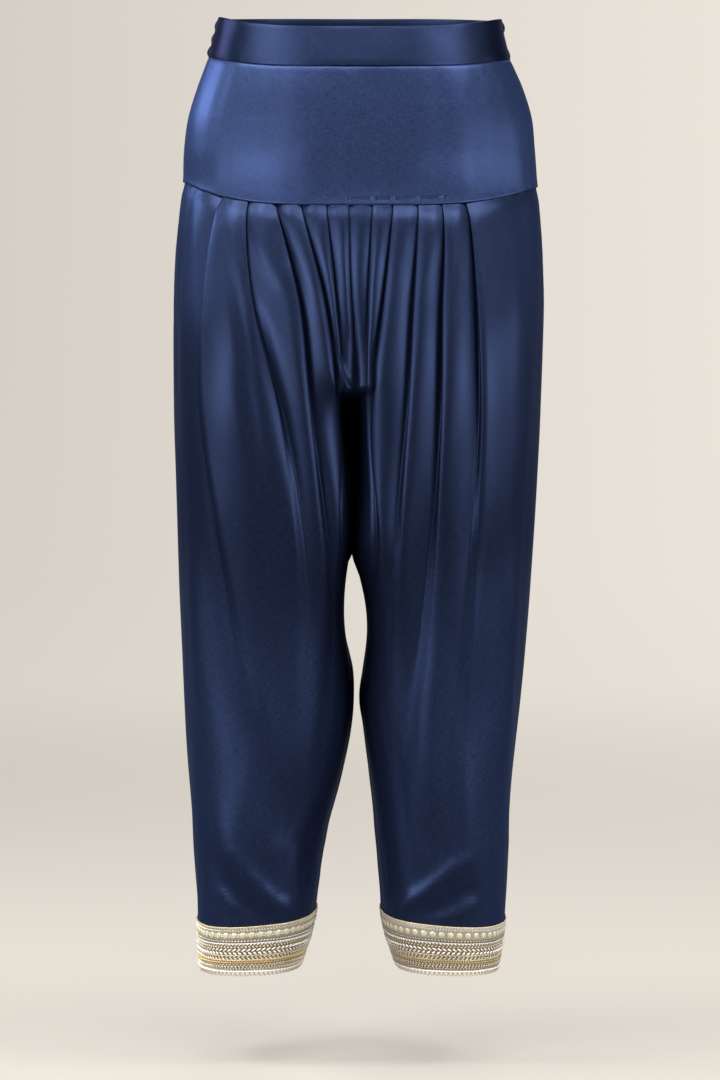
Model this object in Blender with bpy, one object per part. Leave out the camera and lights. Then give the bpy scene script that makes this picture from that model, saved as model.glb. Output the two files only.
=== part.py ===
"""Satin salwar-cut palazzo trousers: waistband, hip yoke, pleated legs and embroidered hem borders.

Metres, +Z up. The origin is the middle of the waist, where the wearer holds the garment up.
The garment faces -Y. The wearer's right leg is on the -X side.
"""

import bpy
import numpy as np

# Cloth
SATIN = 0.0012
BAND_CLOTH = 0.0024
BAND_PROUD = 0.0008
BORDER_BASE = 0.0010
SEAM_GAP = 0.0003
LAID_ON_GAP = 0.0007

# The level of each seam line at the centre front, the two side seams and the centre back
SEAM_LINES = {
    "band_top": {"front": 0.0065, "right": 0.020, "left": 0.018, "back": 0.024},
    "band_bottom": {"front": -0.0315, "right": -0.019, "left": -0.022, "back": -0.016},
    "yoke_bottom": {"front": -0.168, "right": -0.143, "left": -0.148, "back": -0.152},
}

# How flat the seam lines stay across the front and back before they rise to the side seams
SEAM_FLATNESS = 3.2

# The garment's outline: side edges as seen from the front, and front and back as seen from the side
OUTLINE_COLUMNS = ("height", "right", "left", "front", "back")
OUTLINE = (
    (0.030, -0.137, 0.140, -0.095, 0.102),
    (0.000, -0.144, 0.144, -0.100, 0.107),
    (-0.020, -0.150, 0.150, -0.104, 0.112),
    (-0.050, -0.161, 0.163, -0.110, 0.122),
    (-0.080, -0.170, 0.172, -0.115, 0.131),
    (-0.110, -0.174, 0.175, -0.119, 0.138),
    (-0.150, -0.1755, 0.178, -0.122, 0.143),
    (-0.190, -0.180, 0.181, -0.131, 0.149),
    (-0.240, -0.1835, 0.184, -0.138, 0.152),
    (-0.350, -0.1855, 0.1825, -0.141, 0.150),
    (-0.450, -0.1835, 0.1785, -0.134, 0.141),
    (-0.550, -0.180, 0.1715, -0.123, 0.130),
    (-0.650, -0.176, 0.1635, -0.110, 0.117),
    (-0.700, -0.1735, 0.1575, -0.103, 0.110),
    (-0.750, -0.170, 0.1525, -0.096, 0.103),
    (-0.800, -0.1665, 0.1505, -0.088, 0.095),
    (-0.850, -0.163, 0.1480, -0.078, 0.086),
    (-0.882, -0.162, 0.1465, -0.071, 0.079),
    (-0.930, -0.160, 0.140, -0.063, 0.071),
)

# The legs' inner edges as seen from the front. Above the crotch they are the walls of the cleft.
INNER_COLUMNS = ("height", "right", "left")
INNER = (
    (-0.340, -0.015, -0.002),
    (-0.380, -0.018, -0.001),
    (-0.420, -0.009, 0.001),
    (-0.465, -0.0065, -0.0010),
    (-0.500, -0.0068, -0.0058),
    (-0.513, -0.0078, -0.0068),
    (-0.530, -0.0150, -0.0010),
    (-0.550, -0.0155, 0.0065),
    (-0.600, -0.0135, 0.0080),
    (-0.630, -0.0065, 0.0040),
    (-0.660, -0.0050, 0.0000),
    (-0.690, -0.0075, 0.0040),
    (-0.730, -0.0155, 0.0090),
    (-0.790, -0.0310, 0.0155),
    (-0.850, -0.0410, 0.0210),
    (-0.882, -0.0455, 0.0240),
    (-0.930, -0.0600, 0.0385),
)

# The centre seam leans to one side as it goes down to the crotch
CENTRE_COLUMNS = ("height", "x")
CENTRE = (
    (-0.140, -0.0100),
    (-0.250, -0.0080),
    (-0.340, -0.0030),
    (-0.420, -0.0028),
    (-0.465, -0.0037),
    (-0.513, -0.0072),
)

# The crotch seam leaves the front and the back of the garment and meets at its lowest point
CROTCH = {"height": -0.513, "depth": 0.030, "leaves_front": -0.348, "leaves_back": -0.395}
CROTCH_ROUNDNESS = {"front": 4.0, "back": 0.60}
CROTCH_START = {"share_of_depth": 0.86, "widest": 0.93}
CROTCH_NORMAL = (0.6, 0.0, -0.8)

# The cleft's upper edge sags between the legs' folds
CLEFT_SAG = {"level": -0.362, "over": 0.045, "drop": 0.005, "reach": 0.014}

# The legs' middle lies at the crotch's depth, and further forward near the hems
LEG_MIDDLE = {"straight_above": -0.600, "forward_per_metre": 0.030}

# How square the cross-sections are: 2 is an ellipse
HIP_SQUARENESS = 2.3
LEG_SQUARENESS = 2.5
HIP_TO_LEG = {"from": -0.175, "front_to": -0.335, "back_to": -0.400}
FRONT_TO_BACK = {"from": 0.35, "over": 0.30}
CENTRE_PULL = {"reach": 0.012, "per_shift": 1.5}

# The legs' inner corners are squarer beside the cleft than further down
CORNER_COLUMNS = ("height", "squareness")
INNER_CORNERS = (
    (-0.340, 6.0),
    (-0.400, 5.0),
    (-0.480, 3.6),
    (-0.560, 2.7),
    (-0.640, 2.5),
)

# Front pleats: where each fold's edge runs, and how many mm it stands out, at levels under the yoke.
# toward is +1 where the fold's edge faces the centre seam, and -1 where it faces the side.
PLEAT_LEVELS = (-0.160, -0.260, -0.360, -0.460, -0.560, -0.660, -0.760)
RIGHT_PLEATS = (
    ((-0.033, -0.0225, -0.0145, -0.012, -0.012, -0.012, -0.020), (2.5, 5.0, 3.0, 0, 0, 0, 0), 1),
    ((-0.059, -0.034, -0.023, -0.018, -0.018, -0.020, -0.030), (2.5, 7.5, 8.0, 4.0, 1.0, 0, 0), 1),
    ((-0.0835, -0.058, -0.048, -0.036, -0.027, -0.034, -0.045), (2.5, 8.5, 10.0, 9.0, 6.0, 2.0, 0), 1),
    ((-0.109, -0.103, -0.077, -0.061, -0.053, -0.060, -0.070), (2.5, 5.0, 5.5, 4.5, 3.0, 1.0, 0), 1),
    ((-0.132, -0.150, -0.153, -0.142, -0.125, -0.108, -0.104), (2.5, 7.0, 9.0, 8.0, 6.0, 4.0, 2.0), -1),
)
LEFT_PLEATS = (
    ((0.014, 0.0095, 0.008, 0.008, 0.008, 0.012, 0.022), (2.5, 5.0, 3.0, 0, 0, 0, 0), 1),
    ((0.0345, 0.0248, 0.0140, 0.010, 0.015, 0.020, 0.030), (2.5, 7.0, 7.5, 5.0, 2.0, 0, 0), 1),
    ((0.0585, 0.053, 0.048, 0.040, 0.036, 0.036, 0.038), (2.5, 7.5, 7.5, 5.5, 3.0, 1.5, 0), 1),
    ((0.0815, 0.081, 0.080, 0.0755, 0.067, 0.056, 0.048), (2.5, 8.0, 9.0, 8.0, 7.0, 5.5, 3.0), 1),
    ((0.104, 0.1135, 0.1175, 0.114, 0.108, 0.102, 0.096), (2.5, 7.5, 7.0, 4.0, 1.5, 0, 0), 1),
)
MILLIMETRE = 0.001
TINY = 1e-6

# Back pleats are evenly spaced and lie toward the centre seam
BACK_PLEATS = {
    "count": 4,
    "first": 0.030,
    "pitch": 0.030,
    "spread_below": 1.06,
    "rise": (2.5, 6.5, 6.5, 5.0, 3.0, 1.5, 0),
}

# How deep a fold's foot lies as a share of its rise, how wide its step is, and how close folds may come
PLEAT_TROUGH = 0.35
PLEAT_STEP = 0.0030
PLEAT_SPACING = 0.009
BESIDE_CLEFT = 0.003
CLEAR_OF_SIDE = 0.020

# Columns between the centre seam and the first fold, and between the last fold and the side seam, as shares
FIRST_COLUMNS = (0.33, 0.70)
LAST_COLUMNS = (0.14, 0.32, 0.52, 0.76)

# How far the cloth halfway between two folds stands out, as a share of the last fold and of the next one
HALFWAY = {"of_last": 0.45, "of_low_edge": 0.10, "of_high_edge": 0.45}

# The levels of the legs' rows, from the yoke seam down to the crotch, and then to the cloth's edge
JOINED_LEVELS = (
    -0.168, -0.179, -0.196, -0.220, -0.250, -0.285, -0.318, -0.347, -0.355, -0.364, -0.376, -0.392,
    -0.412, -0.438, -0.466, -0.492, -0.507,
)
PARTED_LEVELS = (
    -0.513, -0.524, -0.548, -0.585, -0.625, -0.662, -0.705, -0.750, -0.800, -0.845,
)
BORDER_TOP = -0.880
CLOTH_EDGE = -0.925
SEAM_LINE_FADE = 0.10

# The hems are tilted: the leg's inner side is this much higher at the border's top, and at its bottom
HEM_RISE = {"from": -0.700, "top": 0.010, "bottom": 0.003}
HEM_FRONT_DIP = 0.004

# Each border's rows of braid: share of its height from the top, and how far the row stands out
BORDER_BOTTOM = -0.928
BORDER_COLUMNS = ("share", "rise")
BORDER_ROWS = (
    (0.00, 0.0002),
    (0.05, 0.0011),
    (0.11, 0.0001),
    (0.30, 0.0001),
    (0.35, 0.0009),
    (0.47, 0.0012),
    (0.60, 0.0003),
    (0.68, 0.0011),
    (0.76, 0.0003),
    (0.85, 0.0009),
    (0.92, 0.0002),
    (0.96, 0.0013),
    (1.00, 0.0003),
)

# Gathers along the elastic, and the three puffed channels between its stitch rows
GATHERS = {"count": 27, "band_rise": 0.0011, "band_edge": 0.15, "yoke_rise": 0.0012, "yoke_fade": 0.75}
CHANNELS = {"count": 3, "puff": 0.0014}
YOKE_ROWS = 5
PLAIN_COLUMNS = 25

FINISHES = {
    "Navy satin": {"colour": (0.020, 0.034, 0.100, 1.0), "roughness": 0.38, "metallic": 0.30},
    "Navy satin, pressed flat": {"colour": (0.032, 0.052, 0.135, 1.0), "roughness": 0.36, "metallic": 0.30},
    "Gold braid": {"colour": (0.56, 0.45, 0.28, 1.0), "roughness": 0.45, "metallic": 0.55},
}
SHARP_ANGLE = 50


def column(table, names, name):
    """One named column of a table."""
    return np.array([row[names.index(name)] for row in table], float)


def smooth_between(levels, values, height):
    """Values read at a height from a table that runs downwards, along a smooth curve through its rows."""
    at = -np.asarray(levels, float)
    values = np.asarray(values, float)
    slopes = np.gradient(values, at)
    where = np.clip(-np.asarray(height, float), at[0], at[-1])
    low = np.clip(np.searchsorted(at, where) - 1, 0, len(at) - 2)
    span = at[low + 1] - at[low]
    t = (where - at[low]) / span
    return (
        (2 * t**3 - 3 * t**2 + 1) * values[low]
        + (t**3 - 2 * t**2 + t) * span * slopes[low]
        + (3 * t**2 - 2 * t**3) * values[low + 1]
        + (t**3 - t**2) * span * slopes[low + 1]
    )


def outline(name, height):
    return smooth_between(column(OUTLINE, OUTLINE_COLUMNS, "height"), column(OUTLINE, OUTLINE_COLUMNS, name), height)


def ease(value):
    value = np.clip(value, 0.0, 1.0)
    return value * value * (3 - 2 * value)


def corner_squareness(level, cosine):
    """How square a leg's section is at each of its points: its inner corners differ from its outer ones."""
    corners = smooth_between(
        column(INNER_CORNERS, CORNER_COLUMNS, "height"),
        column(INNER_CORNERS, CORNER_COLUMNS, "squareness"),
        level,
    )
    return np.where(cosine > 0, corners, LEG_SQUARENESS)


def rounded(value, squareness):
    """A sine or cosine bent so that the ring it draws is a squarer ellipse."""
    return np.sign(value) * np.abs(value) ** (2 / squareness)


def seam_height(line, angle):
    """The level of a seam line round the body. Angle 0 is the centre front and a right angle the right side."""
    levels = SEAM_LINES[line]
    side = np.where(np.sin(angle) >= 0, levels["right"], levels["left"])
    centre = np.where(np.cos(angle) >= 0, levels["front"], levels["back"])
    return centre + (side - centre) * abs(np.sin(angle)) ** SEAM_FLATNESS


def hip_ring(angle, height):
    """Points on the ring round the waist, hips and upper legs."""
    across = np.where(np.sin(angle) >= 0, -outline("right", height), outline("left", height))
    deep = np.where(np.cos(angle) >= 0, -outline("front", height), outline("back", height))
    x = -across * rounded(np.sin(angle), HIP_SQUARENESS)
    y = -deep * rounded(np.cos(angle), HIP_SQUARENESS)
    return np.stack([x, y, height + 0 * angle], -1)


def centre_x(height):
    return smooth_between(column(CENTRE, CENTRE_COLUMNS, "height"), column(CENTRE, CENTRE_COLUMNS, "x"), height)


def row_heights(level, angle):
    """A leg's row follows the yoke seam near the top and lies level further down."""
    top = JOINED_LEVELS[0]
    share = 1 - ease((top - level) / SEAM_LINE_FADE)
    return level + (seam_height("yoke_bottom", angle) - top) * share


def hem_rise(level):
    """How much higher the leg's inner side is than its outer side, in a row near the hem."""
    if level > BORDER_TOP:
        return HEM_RISE["top"] * ease((HEM_RISE["from"] - level) / (HEM_RISE["from"] - BORDER_TOP))
    share = (BORDER_TOP - level) / (BORDER_TOP - CLOTH_EDGE)
    return HEM_RISE["top"] + (HEM_RISE["bottom"] - HEM_RISE["top"]) * share


def crotch_y(height, face):
    """How far forward or back the centre seam lies, from the garment's face to the crotch."""
    leaves = CROTCH["leaves_" + face]
    share = np.clip((leaves - height) / (leaves - CROTCH["height"]), 0, 1)
    away = (1 - share) ** CROTCH_ROUNDNESS[face]
    starts = CROTCH_START["share_of_depth"] * outline(face, height)
    return CROTCH["depth"] + (starts - CROTCH["depth"]) * away


def leg_section(leg, level, samples=361):
    """A leg's smooth cross-section from the centre front, or the inseam, round its outside to the back."""
    side = -1.0 if leg == "right" else 1.0
    turn = np.linspace(0, np.pi, samples)
    first = np.arcsin((abs(centre_x(level)) / abs(outline("right", level))) ** (HIP_SQUARENESS / 2))
    quarter = np.pi / 2
    share = np.where(turn <= quarter, turn / quarter, (np.pi - turn) / quarter)
    reach = first + (-side * quarter - first) * share
    angle = np.where(turn <= quarter, reach, np.pi - reach)
    height = row_heights(level, angle)
    hips = hip_ring(angle, height)

    middle = CROTCH["depth"] - LEG_MIDDLE["forward_per_metre"] * max(0.0, LEG_MIDDLE["straight_above"] - level)
    start = {}
    for face in ("front", "back"):
        along = (crotch_y(level, face) - middle) / (outline(face, level) - middle)
        along = np.clip(along, 0, CROTCH_START["widest"]) if level > CROTCH["height"] else 0.0
        start[face] = np.arcsin(along ** (corner_squareness(level, 1.0) / 2))
    round_leg = np.where(
        turn <= quarter,
        start["front"] + (np.pi - start["front"]) * turn / quarter,
        2 * np.pi - start["back"] - (np.pi - start["back"]) * (np.pi - turn) / quarter,
    )
    squareness = corner_squareness(level, np.cos(round_leg))
    across = rounded(np.cos(round_leg), squareness)
    lower = HEM_FRONT_DIP * hem_rise(level) / HEM_RISE["top"] * np.sin(round_leg)
    height = height + hem_rise(level) * (1 + across) / 2 - lower
    inner = smooth_between(
        column(INNER, INNER_COLUMNS, "height"), column(INNER, INNER_COLUMNS, leg), height
    )
    outer = outline(leg, height)
    deep = np.where(np.sin(round_leg) >= 0, outline("front", height) - middle, middle - outline("back", height))
    x = (inner + outer) / 2 - (outer - inner) / 2 * across
    y = middle + deep * rounded(np.sin(round_leg), squareness)
    ring = np.stack([x, y, height], -1)

    begins = HIP_TO_LEG["from"]
    front_share = ease((begins - level) / (begins - HIP_TO_LEG["front_to"]))
    back_share = ease((begins - level) / (begins - HIP_TO_LEG["back_to"]))
    backness = ease((turn / np.pi - FRONT_TO_BACK["from"]) / FRONT_TO_BACK["over"])
    blend = (front_share * (1 - backness) + back_share * backness)[:, None]
    section = hips * (1 - blend) + ring * blend

    if level > CROTCH["height"]:
        sag = CLEFT_SAG["drop"] * (1 - ease(abs(level - CLEFT_SAG["level"]) / CLEFT_SAG["over"]))
        for points, drop in ((section[: samples // 2], sag), (section[::-1][: samples // 2], 0.0)):
            shift = centre_x(level) + side * SEAM_GAP / 2 - points[0, 0]
            reach = CENTRE_PULL["reach"] + CENTRE_PULL["per_shift"] * abs(shift)
            gone = distance_along(points)
            points[:, 0] += shift * np.clip(1 - gone / reach, 0, 1) ** 2
            points[:, 2] -= drop * np.clip(1 - gone / CLEFT_SAG["reach"], 0, 1) ** 2
    return section


def distance_along(points):
    return np.concatenate([[0], np.cumsum(np.linalg.norm(np.diff(points, axis=0), axis=1))])


def point_at(points, gone, distance):
    return np.stack([np.interp(distance, gone, points[:, axis]) for axis in range(3)], -1)


def front_pleats(leg):
    return RIGHT_PLEATS if leg == "right" else LEFT_PLEATS


def back_pleats(leg):
    side = -1.0 if leg == "right" else 1.0
    rows = []
    for number in range(BACK_PLEATS["count"]):
        top = BACK_PLEATS["first"] + BACK_PLEATS["pitch"] * number
        edges = [side * top * BACK_PLEATS["spread_below"] ** step for step in range(len(PLEAT_LEVELS))]
        rows.append((tuple(edges), BACK_PLEATS["rise"], 1))
    return rows


def stations(half, pleats, level, wall):
    """Distances of the grid's columns from the centre seam, and how far each stands out of the smooth section."""
    gone = distance_along(half)
    away = np.maximum.accumulate(np.abs(half[:, 0] - half[0, 0])) + TINY * np.arange(len(half))
    at, rise = [0.0], [0.0]
    last = last_rise = 0.0
    for number, (edges, rises, toward) in enumerate(pleats):
        height = max(0.0, float(smooth_between(PLEAT_LEVELS, rises, level))) * MILLIMETRE
        target = abs(smooth_between(PLEAT_LEVELS, edges, level) - half[0, 0])
        if level < CROTCH["leaves_front"]:
            target = max(target, wall + BESIDE_CLEFT * (number + 1))
        edge = float(np.interp(target, away, gone))
        edge = min(edge, gone[-1] - (len(pleats) - number) * PLEAT_SPACING - CLEAR_OF_SIDE)
        edge = max(edge, last + PLEAT_SPACING + PLEAT_STEP)
        foot = -PLEAT_TROUGH * height
        before, after = (foot, height) if toward > 0 else (height, foot)
        if number == 0:
            at += [edge * share for share in FIRST_COLUMNS]
            rise += [0.0 for _ in FIRST_COLUMNS]
        else:
            next_share = HALFWAY["of_low_edge"] if toward > 0 else HALFWAY["of_high_edge"]
            at.append((last + edge) / 2)
            rise.append(HALFWAY["of_last"] * last_rise + next_share * height)
        at += [edge - PLEAT_STEP / 2, edge + PLEAT_STEP / 2]
        rise += [before, after]
        last, last_rise = edge, max(after, 0.0)
    for share in LAST_COLUMNS:
        at.append(last + (gone[-1] - last) * share)
        rise.append(last_rise * (1 - share) ** 3)
    at.append(gone[-1])
    rise.append(0.0)
    return np.array(at), np.array(rise)


def pleated_half(leg, half, pleats, level, facing):
    """Points of one panel's row, from the centre seam or inseam to the side seam, with its pleats."""
    gone = distance_along(half)
    inner = smooth_between(column(INNER, INNER_COLUMNS, "height"), column(INNER, INNER_COLUMNS, leg), level)
    wall = abs(float(inner) - half[0, 0])
    at, rise = stations(half, pleats, level, wall)
    points = point_at(half, gone, at)
    nearby = 0.002
    ahead = point_at(half, gone, at + nearby) - point_at(half, gone, at - nearby)
    ahead[:, 2] = 0
    ahead /= np.linalg.norm(ahead, axis=1, keepdims=True)
    turn = facing * (1.0 if leg == "right" else -1.0)
    outward = np.stack([-ahead[:, 1], ahead[:, 0], 0 * at], -1) * turn
    return points + outward * rise[:, None]


def leg_grid(leg):
    """The leg's outer points. Rows run down, and columns from the front seam round the outside to the back."""
    levels = JOINED_LEVELS + PARTED_LEVELS + (BORDER_TOP, (BORDER_TOP + CLOTH_EDGE) / 2, CLOTH_EDGE)
    rows = []
    for level in levels:
        section = leg_section(leg, level)
        half = len(section) // 2
        front = pleated_half(leg, section[: half + 1], front_pleats(leg), level, 1)
        back = pleated_half(leg, section[half:][::-1], back_pleats(leg), level, -1)
        rows.append(np.concatenate([front, back[::-1][1:]]))
    return np.array(rows), len(front) - 1


def grid_normals(points, closed_from=None):
    """Outward normals of a grid. Rows from closed_from on are rings whose two ends meet."""
    down = np.gradient(points, axis=0)
    along = np.gradient(points, axis=1)
    if closed_from is not None:
        ring = points[closed_from:]
        across = (ring[:, 1] - ring[:, -2]) / 2
        along[closed_from:, 0] = across
        along[closed_from:, -1] = across
        both = (down[closed_from:, 0] + down[closed_from:, -1]) / 2
        down[closed_from:, 0] = both
        down[closed_from:, -1] = both
    normals = np.cross(along, down)
    return unit(normals)


def unit(vectors):
    return vectors / np.linalg.norm(vectors, axis=-1, keepdims=True)


def wall_mesh(name, outer, inner, closed=False):
    """A closed wall between two grids of points with the same columns."""
    rows, columns = outer.shape[:2]
    inner_rows = inner.shape[0]
    points = np.concatenate([outer.reshape(-1, 3), inner.reshape(-1, 3)])
    offset = rows * columns

    def out(row, col):
        return row * columns + col % columns

    def within(row, col):
        return offset + row * columns + col % columns

    faces = []
    across = columns if closed else columns - 1
    for row in range(rows - 1):
        for col in range(across):
            faces.append((out(row, col), out(row, col + 1), out(row + 1, col + 1), out(row + 1, col)))
    for row in range(inner_rows - 1):
        for col in range(across):
            faces.append((within(row, col), within(row + 1, col), within(row + 1, col + 1), within(row, col + 1)))
    for col in range(across):
        faces.append((out(0, col + 1), out(0, col), within(0, col), within(0, col + 1)))
        last, inner_last = rows - 1, inner_rows - 1
        faces.append((out(last, col), out(last, col + 1), within(inner_last, col + 1), within(inner_last, col)))
    if not closed:
        for row in range(rows - 1):
            faces.append((out(row, 0), out(row + 1, 0), within(row + 1, 0), within(row, 0)))
            end = columns - 1
            faces.append((out(row + 1, end), out(row, end), within(row, end), within(row + 1, end)))
    mesh = bpy.data.meshes.new(name)
    mesh.from_pydata([tuple(point) for point in points], [], faces)
    mesh.validate()
    return mesh


def face_outward(mesh):
    """Turns the whole closed mesh inside out if its volume comes out negative."""
    corners = np.array([vertex.co for vertex in mesh.vertices])
    mesh.calc_loop_triangles()
    triangles = np.array([triangle.vertices for triangle in mesh.loop_triangles])
    a, b, c = (corners[triangles[:, number]] for number in range(3))
    if np.einsum("ij,ij->i", a, np.cross(b, c)).sum() < 0:
        mesh.flip_normals()


def add_piece(name, mesh, material, collection):
    face_outward(mesh)
    piece = bpy.data.objects.new(name, mesh)
    mesh.materials.append(material)
    mesh.shade_smooth()
    mesh.set_sharp_from_angle(angle=np.radians(SHARP_ANGLE))
    triangles = piece.modifiers.new("Even diagonals", "TRIANGULATE")
    triangles.quad_method = "FIXED"
    collection.objects.link(piece)
    return piece


def material(name):
    finish = FINISHES[name]
    made = bpy.data.materials.new(name)
    made.use_nodes = True
    shader = made.node_tree.nodes["Principled BSDF"]
    shader.inputs["Base Color"].default_value = finish["colour"]
    shader.inputs["Roughness"].default_value = finish["roughness"]
    shader.inputs["Metallic"].default_value = finish["metallic"]
    made.diffuse_color = finish["colour"]
    return made


def panel_angles(face, columns):
    """Angles from the right side seam to the left one, across the front or round the back, clear of the seams."""
    clear = SEAM_GAP / 2 / outline("left", 0.0)
    end = np.pi / 2 - clear
    if face == "front":
        return np.linspace(end, -end, columns)
    return np.linspace(np.pi / 2 + clear, 3 * np.pi / 2 - clear, columns)


def body_panel(angle, top, bottom, rows, proud, rise_at):
    """Outer points of a waistband or yoke panel between two seam lines, with gathers and puffs by row and column."""
    grid = []
    for row in range(rows):
        share = row / (rows - 1)
        height = top + (bottom - top) * share
        ring = hip_ring(angle, height)
        flat = ring * (1, 1, 0)
        grid.append(ring + unit(flat) * (proud + rise_at(share, angle))[:, None])
    return np.array(grid)


def gather_wave(angle):
    """A zigzag of gathers round the back, one ridge and one valley for each."""
    return np.where(np.arange(len(angle)) % 2 == 0, -0.5, 0.5)


def no_rise(share, angle):
    return 0 * angle


def band_rise(share, angle):
    puff = abs(np.sin(share * CHANNELS["count"] * np.pi)) * CHANNELS["puff"]
    edge = GATHERS["band_edge"]
    return puff + gather_wave(angle) * GATHERS["band_rise"] * np.sin(np.pi * (edge + (1 - 2 * edge) * share))


def yoke_gathers(share, angle):
    fade = 1 - ease(share / GATHERS["yoke_fade"])
    return gather_wave(angle) * GATHERS["yoke_rise"] * fade


def add_body_panel(name, face, lines, rows, cloth, proud, rise_at, colour, collection):
    columns = PLAIN_COLUMNS if face == "front" else 2 * GATHERS["count"] + 1
    angle = panel_angles(face, columns)
    top = seam_height(lines[0], angle) - SEAM_GAP / 2
    bottom = seam_height(lines[1], angle) + SEAM_GAP / 2
    outer = body_panel(angle, top, bottom, rows, proud, rise_at)
    smooth = body_panel(angle, top, bottom, rows, proud - cloth, no_rise)
    gathered = body_panel(angle, top, bottom, rows, proud - cloth, rise_at)
    inner = smooth if rise_at is band_rise else gathered
    add_piece(name, wall_mesh(name, outer, inner), colour, collection)


def build_waistband(satin, collection):
    lines = ("band_top", "band_bottom")
    rows = 2 * CHANNELS["count"] + 1
    add_body_panel("waistband_front", "front", lines, 3, BAND_CLOTH, BAND_PROUD, no_rise, satin, collection)
    add_body_panel("waistband_back", "back", lines, rows, BAND_CLOTH, BAND_PROUD, band_rise, satin, collection)


def build_yoke(satin, collection):
    lines = ("band_bottom", "yoke_bottom")
    add_body_panel("yoke_front", "front", lines, YOKE_ROWS, SATIN, 0.0, no_rise, satin, collection)
    add_body_panel("yoke_back", "back", lines, YOKE_ROWS, SATIN, 0.0, yoke_gathers, satin, collection)


def seam_normals(normals, joined_rows):
    """Keeps the wall's edges in the centre seam's plane above the crotch, and level at the top row."""
    for end in (0, -1):
        normals[:joined_rows, end, 0] = 0
    normals[0, :, 2] = 0
    return unit(normals)


def parted(points, joined_rows, at_start):
    """Pulls a panel's edge columns back from its seams by half the seam gap each."""
    moved = points.copy()
    for end, beside in ((0, 1), (-1, -2)):
        along = unit(points[:, beside] - points[:, end])
        step = along * SEAM_GAP / 2
        centre_end = (end == 0) == at_start
        if centre_end:
            step[:joined_rows] = 0
        moved[:, end] += step
    return moved


def build_leg(leg, satin, braid, collection):
    side = 1.0 if leg == "right" else -1.0
    joined_rows = len(JOINED_LEVELS)
    outer, side_seam = leg_grid(leg)
    outer[0, :, 2] -= SEAM_GAP / 2
    normals = grid_normals(outer, joined_rows) * side
    for end in (0, -1):
        normals[joined_rows, end] = np.multiply(CROTCH_NORMAL, (side, 1, 1))
    normals = seam_normals(normals, joined_rows)
    inner = outer - normals * SATIN
    panels = (("front", slice(0, side_seam + 1), True), ("back", slice(side_seam, None), False))
    for face, columns, at_start in panels:
        name = f"leg_{leg}_{face}"
        shell = [parted(grid[:, columns], joined_rows, at_start) for grid in (outer, inner)]
        add_piece(name, wall_mesh(name, *shell), satin, collection)

    border_name = f"border_{leg}"
    add_piece(border_name, border_mesh(border_name, outer, normals), braid, collection)


def border_mesh(name, leg_points, leg_normals):
    """The border is worked out from the leg's own points and moved out, with its braid rows raised."""
    top, middle, edge = (leg_points[row, :-1] for row in (-3, -2, -1))
    out_top, out_middle, out_edge = (leg_normals[row, :-1] for row in (-3, -2, -1))

    def at(share):
        height = BORDER_TOP + (BORDER_BOTTOM - BORDER_TOP) * share
        part = (BORDER_TOP - height) / (BORDER_TOP - CLOTH_EDGE) * 2
        if part <= 1:
            return top + (middle - top) * part, unit(out_top + (out_middle - out_top) * part)
        return middle + (edge - middle) * (part - 1), unit(out_middle + (out_edge - out_middle) * (part - 1))

    outer, inner = [], []
    for share, rise in BORDER_ROWS:
        points, out = at(share)
        outer.append(points + out * (1, 1, 0) * (LAID_ON_GAP + BORDER_BASE + rise))
    drop = BORDER_TOP - BORDER_BOTTOM
    cloth_share = (BORDER_TOP - CLOTH_EDGE) / drop
    for share in (0.0, cloth_share / 2, cloth_share, 1.0):
        points, out = at(share)
        inner.append(points + out * (1, 1, 0) * LAID_ON_GAP)
    return wall_mesh(name, np.array(outer), np.array(inner), closed=True)


def build():
    for old in list(bpy.data.objects):
        bpy.data.objects.remove(old)
    collection = bpy.data.collections.new("Palazzo trousers")
    bpy.context.scene.collection.children.link(collection)
    satin = material("Navy satin")
    yoke_satin = material("Navy satin, pressed flat")
    braid = material("Gold braid")
    build_waistband(yoke_satin, collection)
    build_yoke(yoke_satin, collection)
    for leg in ("right", "left"):
        build_leg(leg, satin, braid, collection)


build()
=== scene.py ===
import bpy
import math
import numpy as np
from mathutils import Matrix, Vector


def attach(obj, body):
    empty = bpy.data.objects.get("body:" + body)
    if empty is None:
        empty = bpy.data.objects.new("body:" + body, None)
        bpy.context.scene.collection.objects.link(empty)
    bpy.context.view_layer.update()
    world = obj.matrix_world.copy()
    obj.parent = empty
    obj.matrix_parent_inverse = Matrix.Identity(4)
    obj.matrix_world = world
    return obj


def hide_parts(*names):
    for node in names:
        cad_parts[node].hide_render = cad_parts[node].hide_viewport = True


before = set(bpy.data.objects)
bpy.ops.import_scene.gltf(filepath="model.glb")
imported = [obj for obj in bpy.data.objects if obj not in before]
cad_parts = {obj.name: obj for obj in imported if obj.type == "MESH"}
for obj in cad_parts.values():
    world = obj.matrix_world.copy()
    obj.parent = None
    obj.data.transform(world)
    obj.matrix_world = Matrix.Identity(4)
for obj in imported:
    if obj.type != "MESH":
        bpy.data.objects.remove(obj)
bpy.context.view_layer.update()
print("frame loaded")

mm = 0.001

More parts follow.
